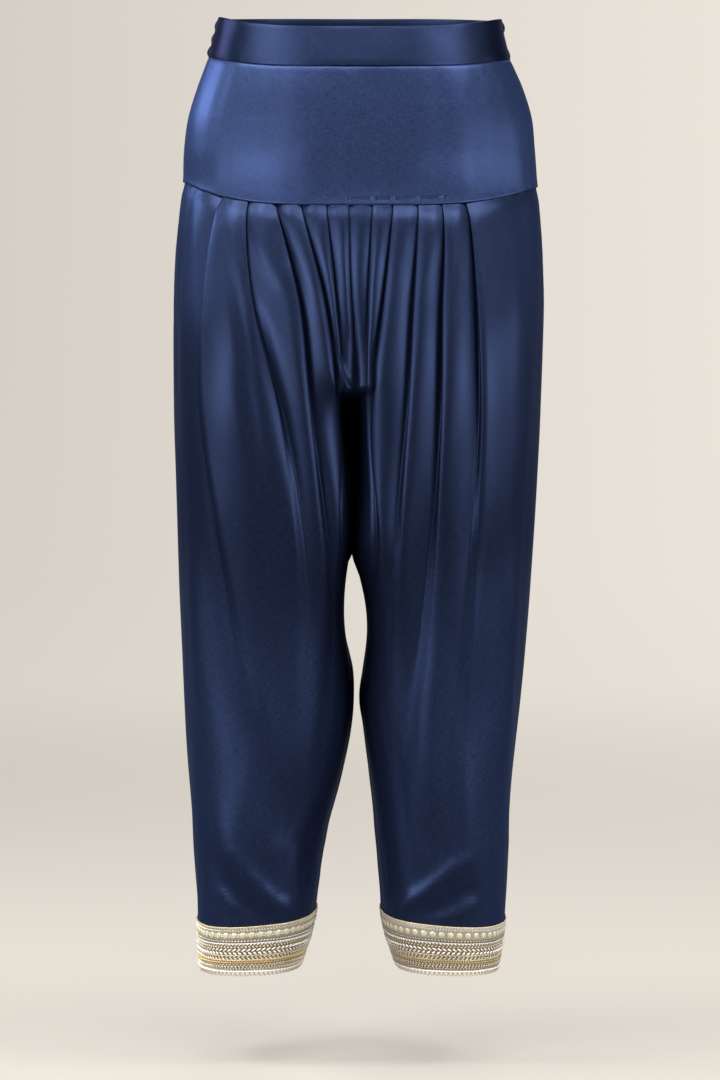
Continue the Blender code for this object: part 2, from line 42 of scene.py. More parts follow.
# The garment's edges as a pattern cutter would measure them on the stand, in metres, waist at 0
shape = {
    "columns": ("height", "right", "left", "front", "back"),
    "outline": (
        (0.030, -0.137, 0.140, -0.095, 0.102),
        (0.000, -0.144, 0.144, -0.100, 0.107),
        (-0.020, -0.150, 0.150, -0.104, 0.112),
        (-0.050, -0.161, 0.163, -0.110, 0.122),
        (-0.080, -0.170, 0.172, -0.115, 0.131),
        (-0.110, -0.174, 0.175, -0.119, 0.138),
        (-0.150, -0.1755, 0.178, -0.122, 0.143),
        (-0.190, -0.180, 0.181, -0.131, 0.149),
        (-0.240, -0.1835, 0.184, -0.138, 0.152),
        (-0.350, -0.1855, 0.1825, -0.141, 0.150),
        (-0.450, -0.1835, 0.1785, -0.134, 0.141),
        (-0.550, -0.180, 0.1715, -0.123, 0.130),
        (-0.650, -0.176, 0.1635, -0.110, 0.117),
        (-0.700, -0.1735, 0.1575, -0.103, 0.110),
        (-0.750, -0.170, 0.1525, -0.096, 0.103),
        (-0.800, -0.1665, 0.1505, -0.088, 0.095),
        (-0.850, -0.163, 0.1480, -0.078, 0.086),
        (-0.882, -0.162, 0.1465, -0.071, 0.079),
        (-0.930, -0.160, 0.140, -0.063, 0.071),
    ),
    "innerColumns": ("height", "right", "left"),
    "inner": (
        (-0.340, -0.015, -0.002),
        (-0.380, -0.018, -0.001),
        (-0.420, -0.009, 0.001),
        (-0.465, -0.0065, -0.0010),
        (-0.500, -0.0068, -0.0058),
        (-0.513, -0.0078, -0.0068),
        (-0.530, -0.0150, -0.0010),
        (-0.550, -0.0155, 0.0065),
        (-0.600, -0.0135, 0.0080),
        (-0.630, -0.0065, 0.0040),
        (-0.660, -0.0050, 0.0000),
        (-0.690, -0.0075, 0.0040),
        (-0.730, -0.0155, 0.0090),
        (-0.790, -0.0310, 0.0155),
        (-0.850, -0.0410, 0.0210),
        (-0.882, -0.0455, 0.0240),
        (-0.930, -0.0600, 0.0385),
    ),
    "centreColumns": ("height", "x"),
    "centre": (
        (-0.140, -0.0100),
        (-0.250, -0.0080),
        (-0.340, -0.0030),
        (-0.420, -0.0028),
        (-0.465, -0.0037),
        (-0.513, -0.0072),
    ),
    "seamLines": {
        "bandTop": {"front": 0.0065, "right": 0.020, "left": 0.018, "back": 0.024},
        "bandBottom": {"front": -0.0315, "right": -0.019, "left": -0.022, "back": -0.016},
        "yokeBottom": {"front": -0.168, "right": -0.143, "left": -0.148, "back": -0.152},
    },
    "seamFlatness": 3.2,
    "seamFades": 0.10,
    "crotchHeight": -0.513,
    "crotchDepth": 0.030,
    "crotchTop": 0.86,
    "crotchLeaves": {"front": -0.348, "back": -0.395},
    "crotchRoundness": {"front": 4.0, "back": 0.60},
    "cleftReach": 0.93,
    "seamPull": {"reach": 0.012, "grow": 1.5},
    "cleftSag": {"level": -0.362, "over": 0.045, "drop": 0.005, "reach": 0.014},
    "hipSquareness": 2.3,
    "legSquareness": 2.5,
    "hipToLegFrom": -0.175,
    "hipToLegTo": {"front": -0.335, "back": -0.400},
    "backFrom": 0.35,
    "backOver": 0.30,
    "legCentred": {"from": 1.6, "least": 0.35},
    "cornerHeights": (-0.340, -0.400, -0.450, -0.500, -0.560, -0.640),
    "cornerSquareness": (6.0, 6.0, 7.5, 7.0, 4.0, 2.5),
    "seamGap": 0.0003,
    "borderTop": -0.880,
    "clothEdge": -0.925,
    "hemRise": {"from": -0.700, "top": 0.010, "bottom": 0.003},
    "hemFrontDip": 0.004,
}


def tableCurves(table, names):
    heights, *columns = np.array(table, float).T
    return {name: (heights, column) for name, column in zip(names[1:], columns)}


# a smooth curve through the values, read at a height
def smoothAlong(levels, values, height):
    at = -np.asarray(levels, float)
    values = np.asarray(values, float)
    slopes = np.gradient(values, at)
    where = np.clip(-np.asarray(height, float), at[0], at[-1])
    low = np.clip(np.searchsorted(at, where) - 1, 0, len(at) - 2)
    span = at[low + 1] - at[low]
    t = (where - at[low]) / span
    return (
        (2 * t**3 - 3 * t**2 + 1) * values[low]
        + (t**3 - 2 * t**2 + t) * span * slopes[low]
        + (3 * t**2 - 2 * t**3) * values[low + 1]
        + (t**3 - t**2) * span * slopes[low + 1]
    )


outlineCurves = tableCurves(shape["outline"], shape["columns"])
innerCurves = tableCurves(shape["inner"], shape["innerColumns"])
centreCurve = tableCurves(shape["centre"], shape["centreColumns"])["x"]


def outlineAt(name, height):
    return smoothAlong(*outlineCurves[name], height)


def centreAt(height):
    return smoothAlong(*centreCurve, height)


def ease(value):
    value = np.clip(value, 0.0, 1.0)
    return value * value * (3 - 2 * value)


# one at zero, gone within about twice the width
def bump(distance, width):
    return np.exp(-((distance / width) ** 2))


def squared(value, squareness):
    return np.sign(value) * np.abs(value) ** (2 / squareness)


def cornerSquareness(level, cosine):
    corners = smoothAlong(shape["cornerHeights"], shape["cornerSquareness"], level)
    return np.where(cosine > 0, corners, shape["legSquareness"])


def unit(vectors):
    return vectors / np.maximum(np.linalg.norm(vectors, axis=-1, keepdims=True), 1e-12)


def gone(points):
    return np.concatenate([[0], np.cumsum(np.linalg.norm(np.diff(points, axis=0), axis=1))])


def pointAt(points, run, distance):
    return np.stack([np.interp(distance, run, points[:, axis]) for axis in range(3)], -1)


def seamLine(line, angle):
    levels = shape["seamLines"][line]
    side = np.where(np.sin(angle) >= 0, levels["right"], levels["left"])
    middle = np.where(np.cos(angle) >= 0, levels["front"], levels["back"])
    return middle + (side - middle) * abs(np.sin(angle)) ** shape["seamFlatness"]


# angle 0 is the centre front, a right angle is the wearer's right side
def hipRing(angle, height):
    across = np.where(np.sin(angle) >= 0, -outlineAt("right", height), outlineAt("left", height))
    deep = np.where(np.cos(angle) >= 0, -outlineAt("front", height), outlineAt("back", height))
    x = -across * squared(np.sin(angle), shape["hipSquareness"])
    y = -deep * squared(np.cos(angle), shape["hipSquareness"])
    return np.stack([x, y, height + 0 * angle], -1)


# slow uneven waves, the same on every run
def softWaves(a, b, seed):
    total = 0 * a
    for number in range(5):
        turn = 1.7 * number + seed * 2.4
        along = a * (1 + 0.37 * number) * math.cos(turn)
        across = b * (1 + 0.29 * number) * math.sin(turn)
        total = total + np.sin(along + across + seed * 5.1 + number)
    return total / 3.2


def rowHeights(level, angle):
    top = shape["seamLines"]["yokeBottom"]["front"]
    share = 1 - ease((top - level) / shape["seamFades"])
    return level + (seamLine("yokeBottom", angle) - top) * share


def crotchY(height, face):
    depth = shape["crotchDepth"]
    leaves = shape["crotchLeaves"][face]
    share = np.clip((leaves - height) / (leaves - shape["crotchHeight"]), 0, 1)
    away = (1 - share) ** shape["crotchRoundness"][face]
    return depth + (shape["crotchTop"] * outlineAt(face, height) - depth) * away


def hemRise(level):
    hem = shape["hemRise"]
    top = shape["borderTop"]
    if level > top:
        return hem["top"] * ease((hem["from"] - level) / (hem["from"] - top))
    share = (top - level) / (top - shape["clothEdge"])
    return hem["top"] + (hem["bottom"] - hem["top"]) * share


# the leg's smooth section, from the centre front or the inseam round the outside to the back
def legSection(leg, level, samples=481):
    side = -1.0 if leg == "right" else 1.0
    turn = np.linspace(0, np.pi, samples)
    quarter = np.pi / 2
    offCentre = abs(centreAt(level)) / abs(outlineAt("right", level))
    first = np.arcsin(offCentre ** (shape["hipSquareness"] / 2))
    share = np.where(turn <= quarter, turn / quarter, (np.pi - turn) / quarter)
    reach = first + (-side * quarter - first) * share
    angle = np.where(turn <= quarter, reach, np.pi - reach)
    height = rowHeights(level, angle)
    hips = hipRing(angle, height)

    centred = shape["legCentred"]
    middle = shape["crotchDepth"] * np.clip(centred["from"] + level, centred["least"], 1.0)
    start = {}
    for face in ("front", "back"):
        along = (crotchY(level, face) - middle) / (outlineAt(face, level) - middle)
        along = np.clip(along, 0, shape["cleftReach"]) if level > shape["crotchHeight"] else 0.0
        start[face] = np.arcsin(along ** (cornerSquareness(level, 1.0) / 2))
    roundLeg = np.where(
        turn <= quarter,
        start["front"] + (np.pi - start["front"]) * turn / quarter,
        2 * np.pi - start["back"] - (np.pi - start["back"]) * (np.pi - turn) / quarter,
    )
    squareness = cornerSquareness(level, np.cos(roundLeg))
    across = squared(np.cos(roundLeg), squareness)
    lower = shape["hemFrontDip"] * hemRise(level) / shape["hemRise"]["top"] * np.sin(roundLeg)
    height = height + hemRise(level) * (1 + across) / 2 - lower
    inner = smoothAlong(*innerCurves[leg], height)
    outer = outlineAt(leg, height)
    frontDepth, backDepth = outlineAt("front", height) - middle, middle - outlineAt("back", height)
    deep = np.where(np.sin(roundLeg) >= 0, frontDepth, backDepth)
    x = (inner + outer) / 2 - (outer - inner) / 2 * across
    y = middle + deep * squared(np.sin(roundLeg), squareness)
    ring = np.stack([x, y, height], -1)

    begins = shape["hipToLegFrom"]
    frontShare, backShare = [
        ease((begins - level) / (begins - shape["hipToLegTo"][face])) for face in ("front", "back")
    ]
    backness = ease((turn / np.pi - shape["backFrom"]) / shape["backOver"])
    blend = (frontShare * (1 - backness) + backShare * backness)[:, None]
    section = hips * (1 - blend) + ring * blend

    if level > shape["crotchHeight"]:
        cleftSag, pull = shape["cleftSag"], shape["seamPull"]
        sag = cleftSag["drop"] * (1 - ease(abs(level - cleftSag["level"]) / cleftSag["over"]))
        for points, drop in ((section[: samples // 2], sag), (section[::-1][: samples // 2], 0.0)):
            shift = centreAt(level) - side * shape["seamGap"] / 2 - points[0, 0]
            run = gone(points)
            reach = pull["reach"] + pull["grow"] * abs(shift)
            points[:, 0] += shift * np.clip(1 - run / reach, 0, 1) ** 2
            points[:, 2] -= drop * np.clip(1 - run / cleftSag["reach"], 0, 1) ** 2
    return section


# Pleats. Each has its edge's path, how far it stands out in mm, and how soft its step is in mm,
# at the levels below. toward 1 faces the centre seam, -1 faces the side.
pleats = {
    "levels": (-0.160, -0.260, -0.360, -0.460, -0.560, -0.660, -0.760),
    "right": (
        {
            "edge": (-0.033, -0.0225, -0.0145, -0.012, -0.012, -0.012, -0.020),
            "rise": (2.5, 5.0, 3.0, 0, 0, 0, 0),
            "soft": (0.5, 1.0, 2, 5, 6, 6, 6),
            "toward": 1,
        },
        {
            "edge": (-0.059, -0.034, -0.023, -0.018, -0.018, -0.020, -0.030),
            "rise": (2.5, 7.5, 8.0, 4.0, 1.0, 0, 0),
            "soft": (0.5, 1.0, 1.5, 4, 7, 7, 7),
            "toward": 1,
        },
        {
            "edge": (-0.0835, -0.058, -0.048, -0.036, -0.027, -0.034, -0.045),
            "rise": (2.5, 8.5, 9.0, 6.0, 1.8, 0, 0),
            "soft": (0.5, 1.0, 1.8, 5, 10, 14, 14),
            "toward": 1,
        },
        {
            "edge": (-0.109, -0.103, -0.077, -0.061, -0.053, -0.060, -0.070),
            "rise": (2.5, 5.0, 5.5, 4.5, 1.8, 0, 0),
            "soft": (0.5, 1.5, 5, 9, 12, 14, 14),
            "toward": 1,
        },
        {
            "edge": (-0.132, -0.150, -0.153, -0.142, -0.125, -0.108, -0.104),
            "rise": (2.5, 7.0, 9.0, 6.5, 3.0, 0.6, 0),
            "soft": (0.5, 1.5, 3, 6, 12, 18, 20),
            "toward": -1,
        },
    ),
    "left": (
        {
            "edge": (0.014, 0.0095, 0.008, 0.008, 0.008, 0.012, 0.022),
            "rise": (2.5, 5.0, 3.0, 0, 0, 0, 0),
            "soft": (0.5, 1.0, 2, 5, 6, 6, 6),
            "toward": 1,
        },
        {
            "edge": (0.0345, 0.0248, 0.0140, 0.010, 0.015, 0.020, 0.030),
            "rise": (2.5, 7.0, 7.5, 5.0, 2.0, 0, 0),
            "soft": (0.5, 1.0, 2, 4, 9, 9, 9),
            "toward": 1,
        },
        {
            "edge": (0.0585, 0.053, 0.048, 0.040, 0.036, 0.036, 0.038),
            "rise": (2.5, 7.5, 7.5, 5.5, 2.2, 0, 0),
            "soft": (0.5, 1.0, 2, 5, 9, 14, 14),
            "toward": 1,
        },
        {
            "edge": (0.0815, 0.081, 0.080, 0.0755, 0.067, 0.056, 0.048),
            "rise": (2.5, 8.0, 9.0, 6.5, 2.4, 0, 0),
            "soft": (0.5, 0.8, 1.4, 4, 10, 14, 16),
            "toward": 1,
        },
        {
            "edge": (0.104, 0.1135, 0.1175, 0.114, 0.108, 0.102, 0.096),
            "rise": (2.5, 7.5, 7.0, 4.0, 1.5, 0, 0),
            "soft": (0.5, 0.8, 1.5, 5, 12, 14, 14),
            "toward": 1,
        },
    ),
    "back": {
        "count": 4,
        "first": 0.030,
        "pitch": 0.030,
        "spread": 1.06,
        "drift": 0.0015,
        "uneven": 0.18,
        "rise": (2.5, 6.5, 6.5, 5.0, 3.0, 1.5, 0),
        "soft": (0.5, 1.0, 2, 5, 10, 15, 18),
    },
    "tuck": (3.5, 3.0, 1.4, 0.3, 0, 0, 0),  # how far a fold laps over, in mm
    "puff": (2.4, 2.6, 1.8, 1.0, 0.5, 0, 0),  # how far the cloth rounds out between folds, in mm
    "roll": (0.75, 0.55, 0.45, 0.35, 0.25, 0, 0),  # how far the edge rolls in below the crest, as a share
    "rollShare": 0.30,
    "trough": 0.35,
    "fullTuck": 2.0,  # mm that a fold stands out before it laps over in full
    "seamLean": 0.0008,
    "closest": 0.0085,
    "sideRoom": 0.02,
    "wallStep": 0.003,
    "fullPuff": 0.02,
    "columns": 10,
    # the lap's section: how far it goes along, how it leans, and its share of the height
    "lap": (
        (0.30, -0.50, 0.00),
        (0.80, -0.42, 0.03),
        (1.00, -0.32, 0.15),
        (0.85, -0.18, 0.32),
        (0.40, -0.04, 0.45),
        (0.00, 0.12, 0.58),
        (-0.12, 0.26, 0.72),
        (-0.05, 0.40, 0.88),
        (0.15, 0.50, 1.00),
    ),
}


def backPleats(leg):
    settings = pleats["back"]
    side, driftTurn, growTurn = (-1.0, 0, 0.4) if leg == "right" else (1.0, 1.3, 2.2)
    made = []
    for number in range(settings["count"]):
        top = settings["first"] + settings["pitch"] * number
        drift = settings["drift"] * math.sin(2.1 * number + driftTurn)
        edge = [
            side * (top + drift * step) * settings["spread"] ** step
            for step in range(len(pleats["levels"]))
        ]
        grow = 1 + settings["uneven"] * math.sin(1.9 * number + growTurn)
        rise = [value * grow for value in settings["rise"]]
        made.append({"edge": edge, "rise": rise, "soft": settings["soft"], "toward": 1})
    return made


def lapPoints(edge, low, high, tuck, soft, toward):
    along, lean, share = np.array(pleats["lap"]).T
    if toward > 0:
        return edge + tuck * along + soft * lean, low + (high - low) * share
    return (edge - tuck * along - soft * lean)[::-1], (low + (high - low) * share)[::-1]


# distances from the centre seam of one row's columns, and how far each stands out
def foldRow(half, folds, level, wall, centreLap=0.0):
    run = gone(half)
    away = np.maximum.accumulate(np.abs(half[:, 0] - half[0, 0])) + 1e-6 * np.arange(len(half))

    def here(values):
        return float(smoothAlong(pleats["levels"], values, level))

    tuckHere = max(0.0, here(pleats["tuck"])) * mm
    puffHere = max(0.0, here(pleats["puff"])) * mm
    rollHere = here(pleats["roll"])
    table = np.array(pleats["lap"])
    lapRise = centreLap * mm
    lapTuck = tuckHere * min(1.0, centreLap / pleats["fullTuck"])
    at = list(lapTuck * table[:, 0] + pleats["seamLean"] * (table[:, 1] + 0.5) + 0.12 * lapTuck)
    rise = list(lapRise * table[:, 2])
    last, previous = at[-1], lapRise
    shares = np.linspace(0, 1, pleats["columns"] + 2)[1:-1]
    for number, fold in enumerate(folds):
        height = max(0.0, here(fold["rise"])) * mm
        soft = max(0.3, here(fold["soft"])) * mm
        tuck = tuckHere * min(1.0, height / (pleats["fullTuck"] * mm))
        target = abs(here(fold["edge"]) - half[0, 0])
        if level < shape["crotchLeaves"]["front"]:
            target = max(target, wall + pleats["wallStep"] * (number + 1))
        edge = float(np.interp(target, away, run))
        edge = min(edge, run[-1] - (len(folds) - number) * pleats["closest"] - pleats["sideRoom"])
        edge = max(edge, last + pleats["closest"] + soft / 2)
        edgeHeight = height * (1 - 0.5 * rollHere)
        low = -pleats["trough"] * height
        lapAt, lapRises = lapPoints(edge, low, edgeHeight, tuck, soft, fold["toward"])
        at += list(last + (lapAt[0] - last) * shares)
        puff = puffHere * min(1.0, (lapAt[0] - last) / pleats["fullPuff"])
        crest = 1 + rollHere * np.sin(np.pi / 2 * np.minimum(1, shares / pleats["rollShare"]))
        crest = previous * crest * (1 - shares) ** 1.3
        rise += list(crest + lapRises[0] * shares**2.5 + puff * np.sin(np.pi * shares))
        at += list(lapAt)
        rise += list(lapRises)
        last, previous = at[-1], rise[-1]
    rest = run[-1] - last
    toSide = np.concatenate([np.linspace(0, 0.93, 26)[1:], (0.955, 0.972, 0.985, 0.994, 1.0)])
    at += list(last + rest * toSide)
    puff = puffHere * np.sin(np.pi * np.minimum(1, toSide * 2.2)) * (toSide < 0.4545)
    rise += list(previous * (1 - toSide) ** 3 + puff)
    return np.array(at), np.array(rise)


# Long soft folds. Each has its path down the panel as (x, z), its rise in mm, negative for a
# valley, and its widths in mm to either side of the path, toward -X and toward +X.
softFolds = {
    "right": {
        "front": (
            (
                (
                    (-0.131, -0.185), (-0.123, -0.227), (-0.116, -0.262),
                    (-0.110, -0.30), (-0.106, -0.36), (-0.098, -0.43),
                ),
                -2.6,
                (5, 4),
            ),
            (((-0.104, -0.185), (-0.086, -0.222), (-0.066, -0.258)), 0.9, (6, 7)),
            (
                ((-0.106, -0.25), (-0.094, -0.295), (-0.081, -0.345), (-0.070, -0.40), (-0.062, -0.47)),
                -2.0,
                (8, 6),
            ),
            (((-0.081, -0.180), (-0.073, -0.205), (-0.062, -0.232)), -0.8, (5, 4)),
            (
                ((-0.0215, -0.312), (-0.0165, -0.336), (-0.0085, -0.3525), (0.0005, -0.3625)),
                1.8,
                (3.2, 3.2),
            ),
            (
                (
                    (-0.148, -0.48), (-0.142, -0.565), (-0.131, -0.655), (-0.113, -0.705),
                    (-0.088, -0.745), (-0.062, -0.78), (-0.046, -0.815),
                ),
                -2.9,
                (16, 26),
            ),
            (((-0.163, -0.49), (-0.1595, -0.585), (-0.152, -0.69)), 2.2, (8, 10)),
            (((-0.112, -0.60), (-0.098, -0.66), (-0.080, -0.72), (-0.062, -0.76)), 2.4, (14, 16)),
            (
                (
                    (-0.150, -0.74), (-0.134, -0.785), (-0.112, -0.825),
                    (-0.084, -0.855), (-0.045, -0.873),
                ),
                2.3,
                (12, 9),
            ),
            (((-0.151, -0.80), (-0.136, -0.836), (-0.116, -0.860), (-0.090, -0.872)), -1.3, (8, 8)),
            (((-0.142, -0.836), (-0.126, -0.858), (-0.100, -0.872)), 0.9, (5, 5)),
            (((-0.074, -0.73), (-0.060, -0.77), (-0.050, -0.805), (-0.045, -0.84)), -2.2, (12, 10)),
            (((-0.072, -0.32), (-0.058, -0.42), (-0.044, -0.52), (-0.036, -0.62)), 1.4, (12, 12)),
            (((-0.062, -0.58), (-0.052, -0.68), (-0.048, -0.78)), 1.1, (15, 15)),
        ),
        "back": (
            (((-0.060, -0.42), (-0.082, -0.52), (-0.098, -0.62), (-0.104, -0.72)), -4.0, (14, 14)),
            (((-0.030, -0.50), (-0.052, -0.57), (-0.080, -0.62)), 3.0, (10, 12)),
            (((-0.140, -0.66), (-0.120, -0.76), (-0.096, -0.84)), 3.2, (12, 12)),
            (((-0.126, -0.80), (-0.104, -0.845), (-0.074, -0.868)), -2.8, (8, 8)),
            (((-0.060, -0.66), (-0.070, -0.74), (-0.066, -0.82)), 2.6, (10, 10)),
        ),
    },
    "left": {
        "front": (
            (((0.152, -0.48), (0.151, -0.56), (0.148, -0.64), (0.145, -0.74)), 1.8, (8, 6)),
            (((0.128, -0.48), (0.128, -0.58), (0.124, -0.70)), -1.8, (9, 10)),
            (
                ((0.072, -0.44), (0.060, -0.56), (0.046, -0.68), (0.029, -0.755), (0.019, -0.80)),
                -3.0,
                (15, 13),
            ),
            (
                ((0.112, -0.800), (0.088, -0.826), (0.064, -0.846), (0.042, -0.862), (0.024, -0.872)),
                2.2,
                (9, 8),
            ),
            (((0.118, -0.834), (0.090, -0.856), (0.058, -0.870)), -1.3, (6, 7)),
            (((0.124, -0.850), (0.102, -0.865), (0.074, -0.874)), 0.8, (5, 5)),
            (((0.076, -0.58), (0.070, -0.68), (0.064, -0.78)), 2.2, (14, 16)),
            (((0.026, -0.44), (0.030, -0.54), (0.032, -0.68)), 1.1, (13, 13)),
            (((0.110, -0.70), (0.108, -0.78), (0.104, -0.85)), 1.6, (12, 12)),
        ),
        "back": (
            (((0.056, -0.42), (0.078, -0.52), (0.092, -0.62), (0.094, -0.72)), -4.0, (14, 14)),
            (((0.024, -0.50), (0.046, -0.575), (0.076, -0.63)), 3.0, (12, 10)),
            (((0.128, -0.64), (0.108, -0.75), (0.082, -0.84)), 3.0, (12, 12)),
            (((0.112, -0.80), (0.090, -0.845), (0.060, -0.868)), -2.6, (8, 8)),
            (((0.044, -0.66), (0.052, -0.75), (0.050, -0.82)), 2.4, (10, 10)),
        ),
    },
    "yokeFront": (
        (((-0.150, -0.080), (-0.105, -0.081), (-0.060, -0.079)), 0.26, (2.5, 4)),
        (((-0.070, -0.111), (-0.025, -0.112), (0.020, -0.111)), 0.28, (2.5, 4)),
        (((0.030, -0.070), (0.080, -0.071), (0.120, -0.070)), 0.22, (3, 4)),
        (((-0.059, -0.020), (-0.056, -0.09), (-0.064, -0.19)), 2.6, (46, 24)),
        (((0.014, -0.010), (0.026, -0.075), (0.020, -0.19)), -1.3, (20, 16)),
        (((0.104, -0.010), (0.100, -0.08), (0.106, -0.20)), 1.5, (14, 12)),
        (((-0.012, -0.030), (-0.004, -0.055), (0.002, -0.085)), 0.7, (7, 7)),
    ),
}


def foldRise(folds, across, height, strength=1.0):
    total = 0 * across
    for path, rise, widths in folds:
        path = np.array(path)
        lengths = gone(np.c_[path, 0 * path[:, 0]])
        best = np.full(across.shape, 1e9)
        signed = 0 * across
        place = 0 * across
        for number in range(len(path) - 1):
            a, b = path[number], path[number + 1]
            step = b - a
            t = ((across - a[0]) * step[0] + (height - a[1]) * step[1]) / (step @ step)
            t = np.clip(t, 0, 1)
            offX, offZ = across - a[0] - t * step[0], height - a[1] - t * step[1]
            far = np.hypot(offX, offZ)
            near = far < best
            best = np.where(near, far, best)
            turned = step[1] * offX - step[0] * offZ
            signed = np.where(near, -np.sign(turned) * far, signed)
            along = lengths[number] + t * (lengths[number + 1] - lengths[number])
            place = np.where(near, along / lengths[-1], place)
        width = np.where(signed < 0, widths[0], widths[1]) * mm
        fade = ease(place / 0.25) * ease((1 - place) / 0.25)
        total = total + strength * rise * mm * bump(best, width) * fade
    return total


legRows = {
    "nearSeam": 0.016,
    "nearSeamRows": 9,
    "spacing": 0.0042,
    "edgeRows": 12,
    "nearby": 0.004,
    "centreLap": ((0.161, 0.20, 0.28, 0.33), (2.2, 3.2, 3.0, 0.0)),  # depth, and mm that it laps over
    "tuckedUnder": 1.7,  # mm that the cloth dips under the yoke's seam
    "tuckedReach": 0.0080,
    "allowance": {"in": 1.6, "below": 0.35, "up": 9.0},  # mm, the edge sewn in behind the yoke
    "calm": {"from": -0.27, "to": -0.805, "over": 0.05, "clear": 0.024, "rounds": 60},
    # mm that the cloth swells out just below the seam
    "bloom": {"least": 0.6, "most": 7.4, "reach": 0.036, "right": -0.122, "left": 0.082},
    "bloomFrom": 0.018,
    "bloomTo": 0.100,
    "strength": 1.7,
    "uneven": {"streak": 0.70, "crease": 0.20, "grain": 0.06, "pucker": 0.40},  # mm
    "unevenFrom": 0.05,
    "puckerReach": 0.013,
    "seamDip": 0.7,  # mm
    "seamDipReach": 0.0022,
    "seamClear": 0.014,
    "centreClear": 0.004,
    "seeds": {
        "right": {"front": 1.0, "back": 4.0, "crease": 5.0, "pucker": 3.0, "grain": 2.0},
        "left": {"front": 1.0, "back": 4.0, "crease": 9.0, "pucker": 7.0, "grain": 3.0},
    },
}


def legLevels():
    top = shape["seamLines"]["yokeBottom"]["front"]
    crotch, hem = shape["crotchHeight"], shape["borderTop"]
    spacing, off = legRows["spacing"], 0.0006
    first = top - legRows["nearSeam"] * np.linspace(0, 1, legRows["nearSeamRows"]) ** 1.4
    joined = np.linspace(first[-1], crotch + off, int(round((first[-1] - crotch) / spacing)))[1:]
    parted = np.linspace(crotch - off, hem, int(round((crotch - hem) / spacing)))
    edge = np.linspace(hem, shape["clothEdge"], legRows["edgeRows"])[1:]
    return np.concatenate([first, joined, parted, edge])


def outwardOf(half, at, turn):
    run = gone(half)
    nearby = legRows["nearby"]
    ahead = pointAt(half, run, at + nearby) - pointAt(half, run, at - nearby)
    ahead[:, 2] = 0
    ahead = unit(ahead)
    return np.stack([-ahead[:, 1], ahead[:, 0], 0 * at], -1) * turn


# evens out the cloth down the leg where the hips part into legs, clear of the centre seam
def calmed(grid, away, levels):
    calm = legRows["calm"]
    here = ease((calm["from"] - levels) / calm["over"]) * ease((levels - calm["to"]) / calm["over"])
    share = ease((away - calm["clear"]) / calm["clear"]) * here[:, None]
    for _ in range(calm["rounds"]):
        middle = (grid[:-2] + 2 * grid[1:-1] + grid[2:]) / 4
        grid[1:-1] += (middle - grid[1:-1]) * share[1:-1, :, None]
    return grid


# streaks, creases, grain and the seam's pucker, in mm
def unevenness(leg, face, at, level, below):
    seeds, size = legRows["seeds"][leg], legRows["uneven"]
    streak = softWaves(at * 95, level * 9 + 0 * at, seeds[face])
    crease = softWaves(at * 210 - level * 60, level * 75 + at * 40, seeds["crease"])
    pucker = softWaves(at * 620, level * 150 + 0 * at, seeds["pucker"])
    grain = softWaves(at * 420, level * 60 + 0 * at, seeds["grain"])
    streak = size["streak"] * streak * ease(below / legRows["unevenFrom"])
    pucker = size["pucker"] * pucker * bump(below, legRows["puckerReach"])
    return streak + size["crease"] * crease + size["grain"] * grain + pucker


# one row of a leg's panel: smooth points, the way out of them, how far to go, and the cut's distances
def legRow(leg, face, level, below, points, folds, facing):
    wall = abs(float(smoothAlong(*innerCurves[leg], level)) - points[0, 0])
    lap = float(np.interp(-level, *legRows["centreLap"])) if (leg, face) == ("right", "front") else 0.0
    at, rise = foldRow(points, folds, level, wall, lap)
    run = gone(points)
    base = pointAt(points, run, at)
    out = outwardOf(points, at, facing)
    toSide = run[-1] - at
    seamward = ease(np.minimum(at, toSide) / legRows["seamClear"])
    clear = ease(np.minimum(at / legRows["centreClear"], toSide / legRows["seamClear"]))
    folded = foldRise(softFolds[leg][face], base[:, 0], base[:, 2], legRows["strength"])
    rise = rise + folded * clear
    rise = rise + unevenness(leg, face, at, level, below) * mm * seamward
    seamDip = bump(toSide, legRows["seamDipReach"])
    if level < shape["crotchHeight"]:
        seamDip = seamDip + bump(at, legRows["seamDipReach"])
    rise = rise - legRows["seamDip"] * mm * seamDip
    rise = rise - legRows["tuckedUnder"] * mm * bump(below, legRows["tuckedReach"])
    swell = legRows["bloom"]
    bloom = (1 - math.exp(-below / legRows["bloomFrom"])) * bump(below, legRows["bloomTo"])
    here = swell["least"] + swell["most"] * bump(base[:, 0] - swell[leg], swell["reach"])
    return base, out, rise + here * mm * bloom * seamward, at


def legGrid(leg):
    levels = legLevels()
    side = -1.0 if leg == "right" else 1.0
    panels = {"front": (pleats[leg], -side), "back": (backPleats(leg), side)}
    rows = {face: [] for face in panels}
    cutRows = {face: [] for face in panels}
    tops = {}
    for level in levels:
        section = legSection(leg, level)
        half = len(section) // 2
        halves = {"front": section[: half + 1], "back": section[half:][::-1]}
        for face, (folds, facing) in panels.items():
            below = levels[0] - level
            base, out, rise, at = legRow(leg, face, level, below, halves[face], folds, facing)
            rows[face].append(base + out * rise[:, None])
            cutRows[face].append(at)
            if below == 0:
                sewn = legRows["allowance"]
                inside = base - out * sewn["in"] * mm
                tops[face] = [inside + [0, 0, up * mm] for up in (sewn["up"], -sewn["below"])]
    return [
        np.concatenate([tops[face], calmed(np.array(rows[face]), np.array(cutRows[face]), levels)])
        for face in panels
    ]


def meshPiece(name, points, faces):
    mesh = bpy.data.meshes.new(name)
    mesh.from_pydata(np.asarray(points).tolist(), [], faces)
    mesh.shade_smooth()
    piece = bpy.data.objects.new(name, mesh)
    bpy.context.scene.collection.objects.link(piece)
    return piece


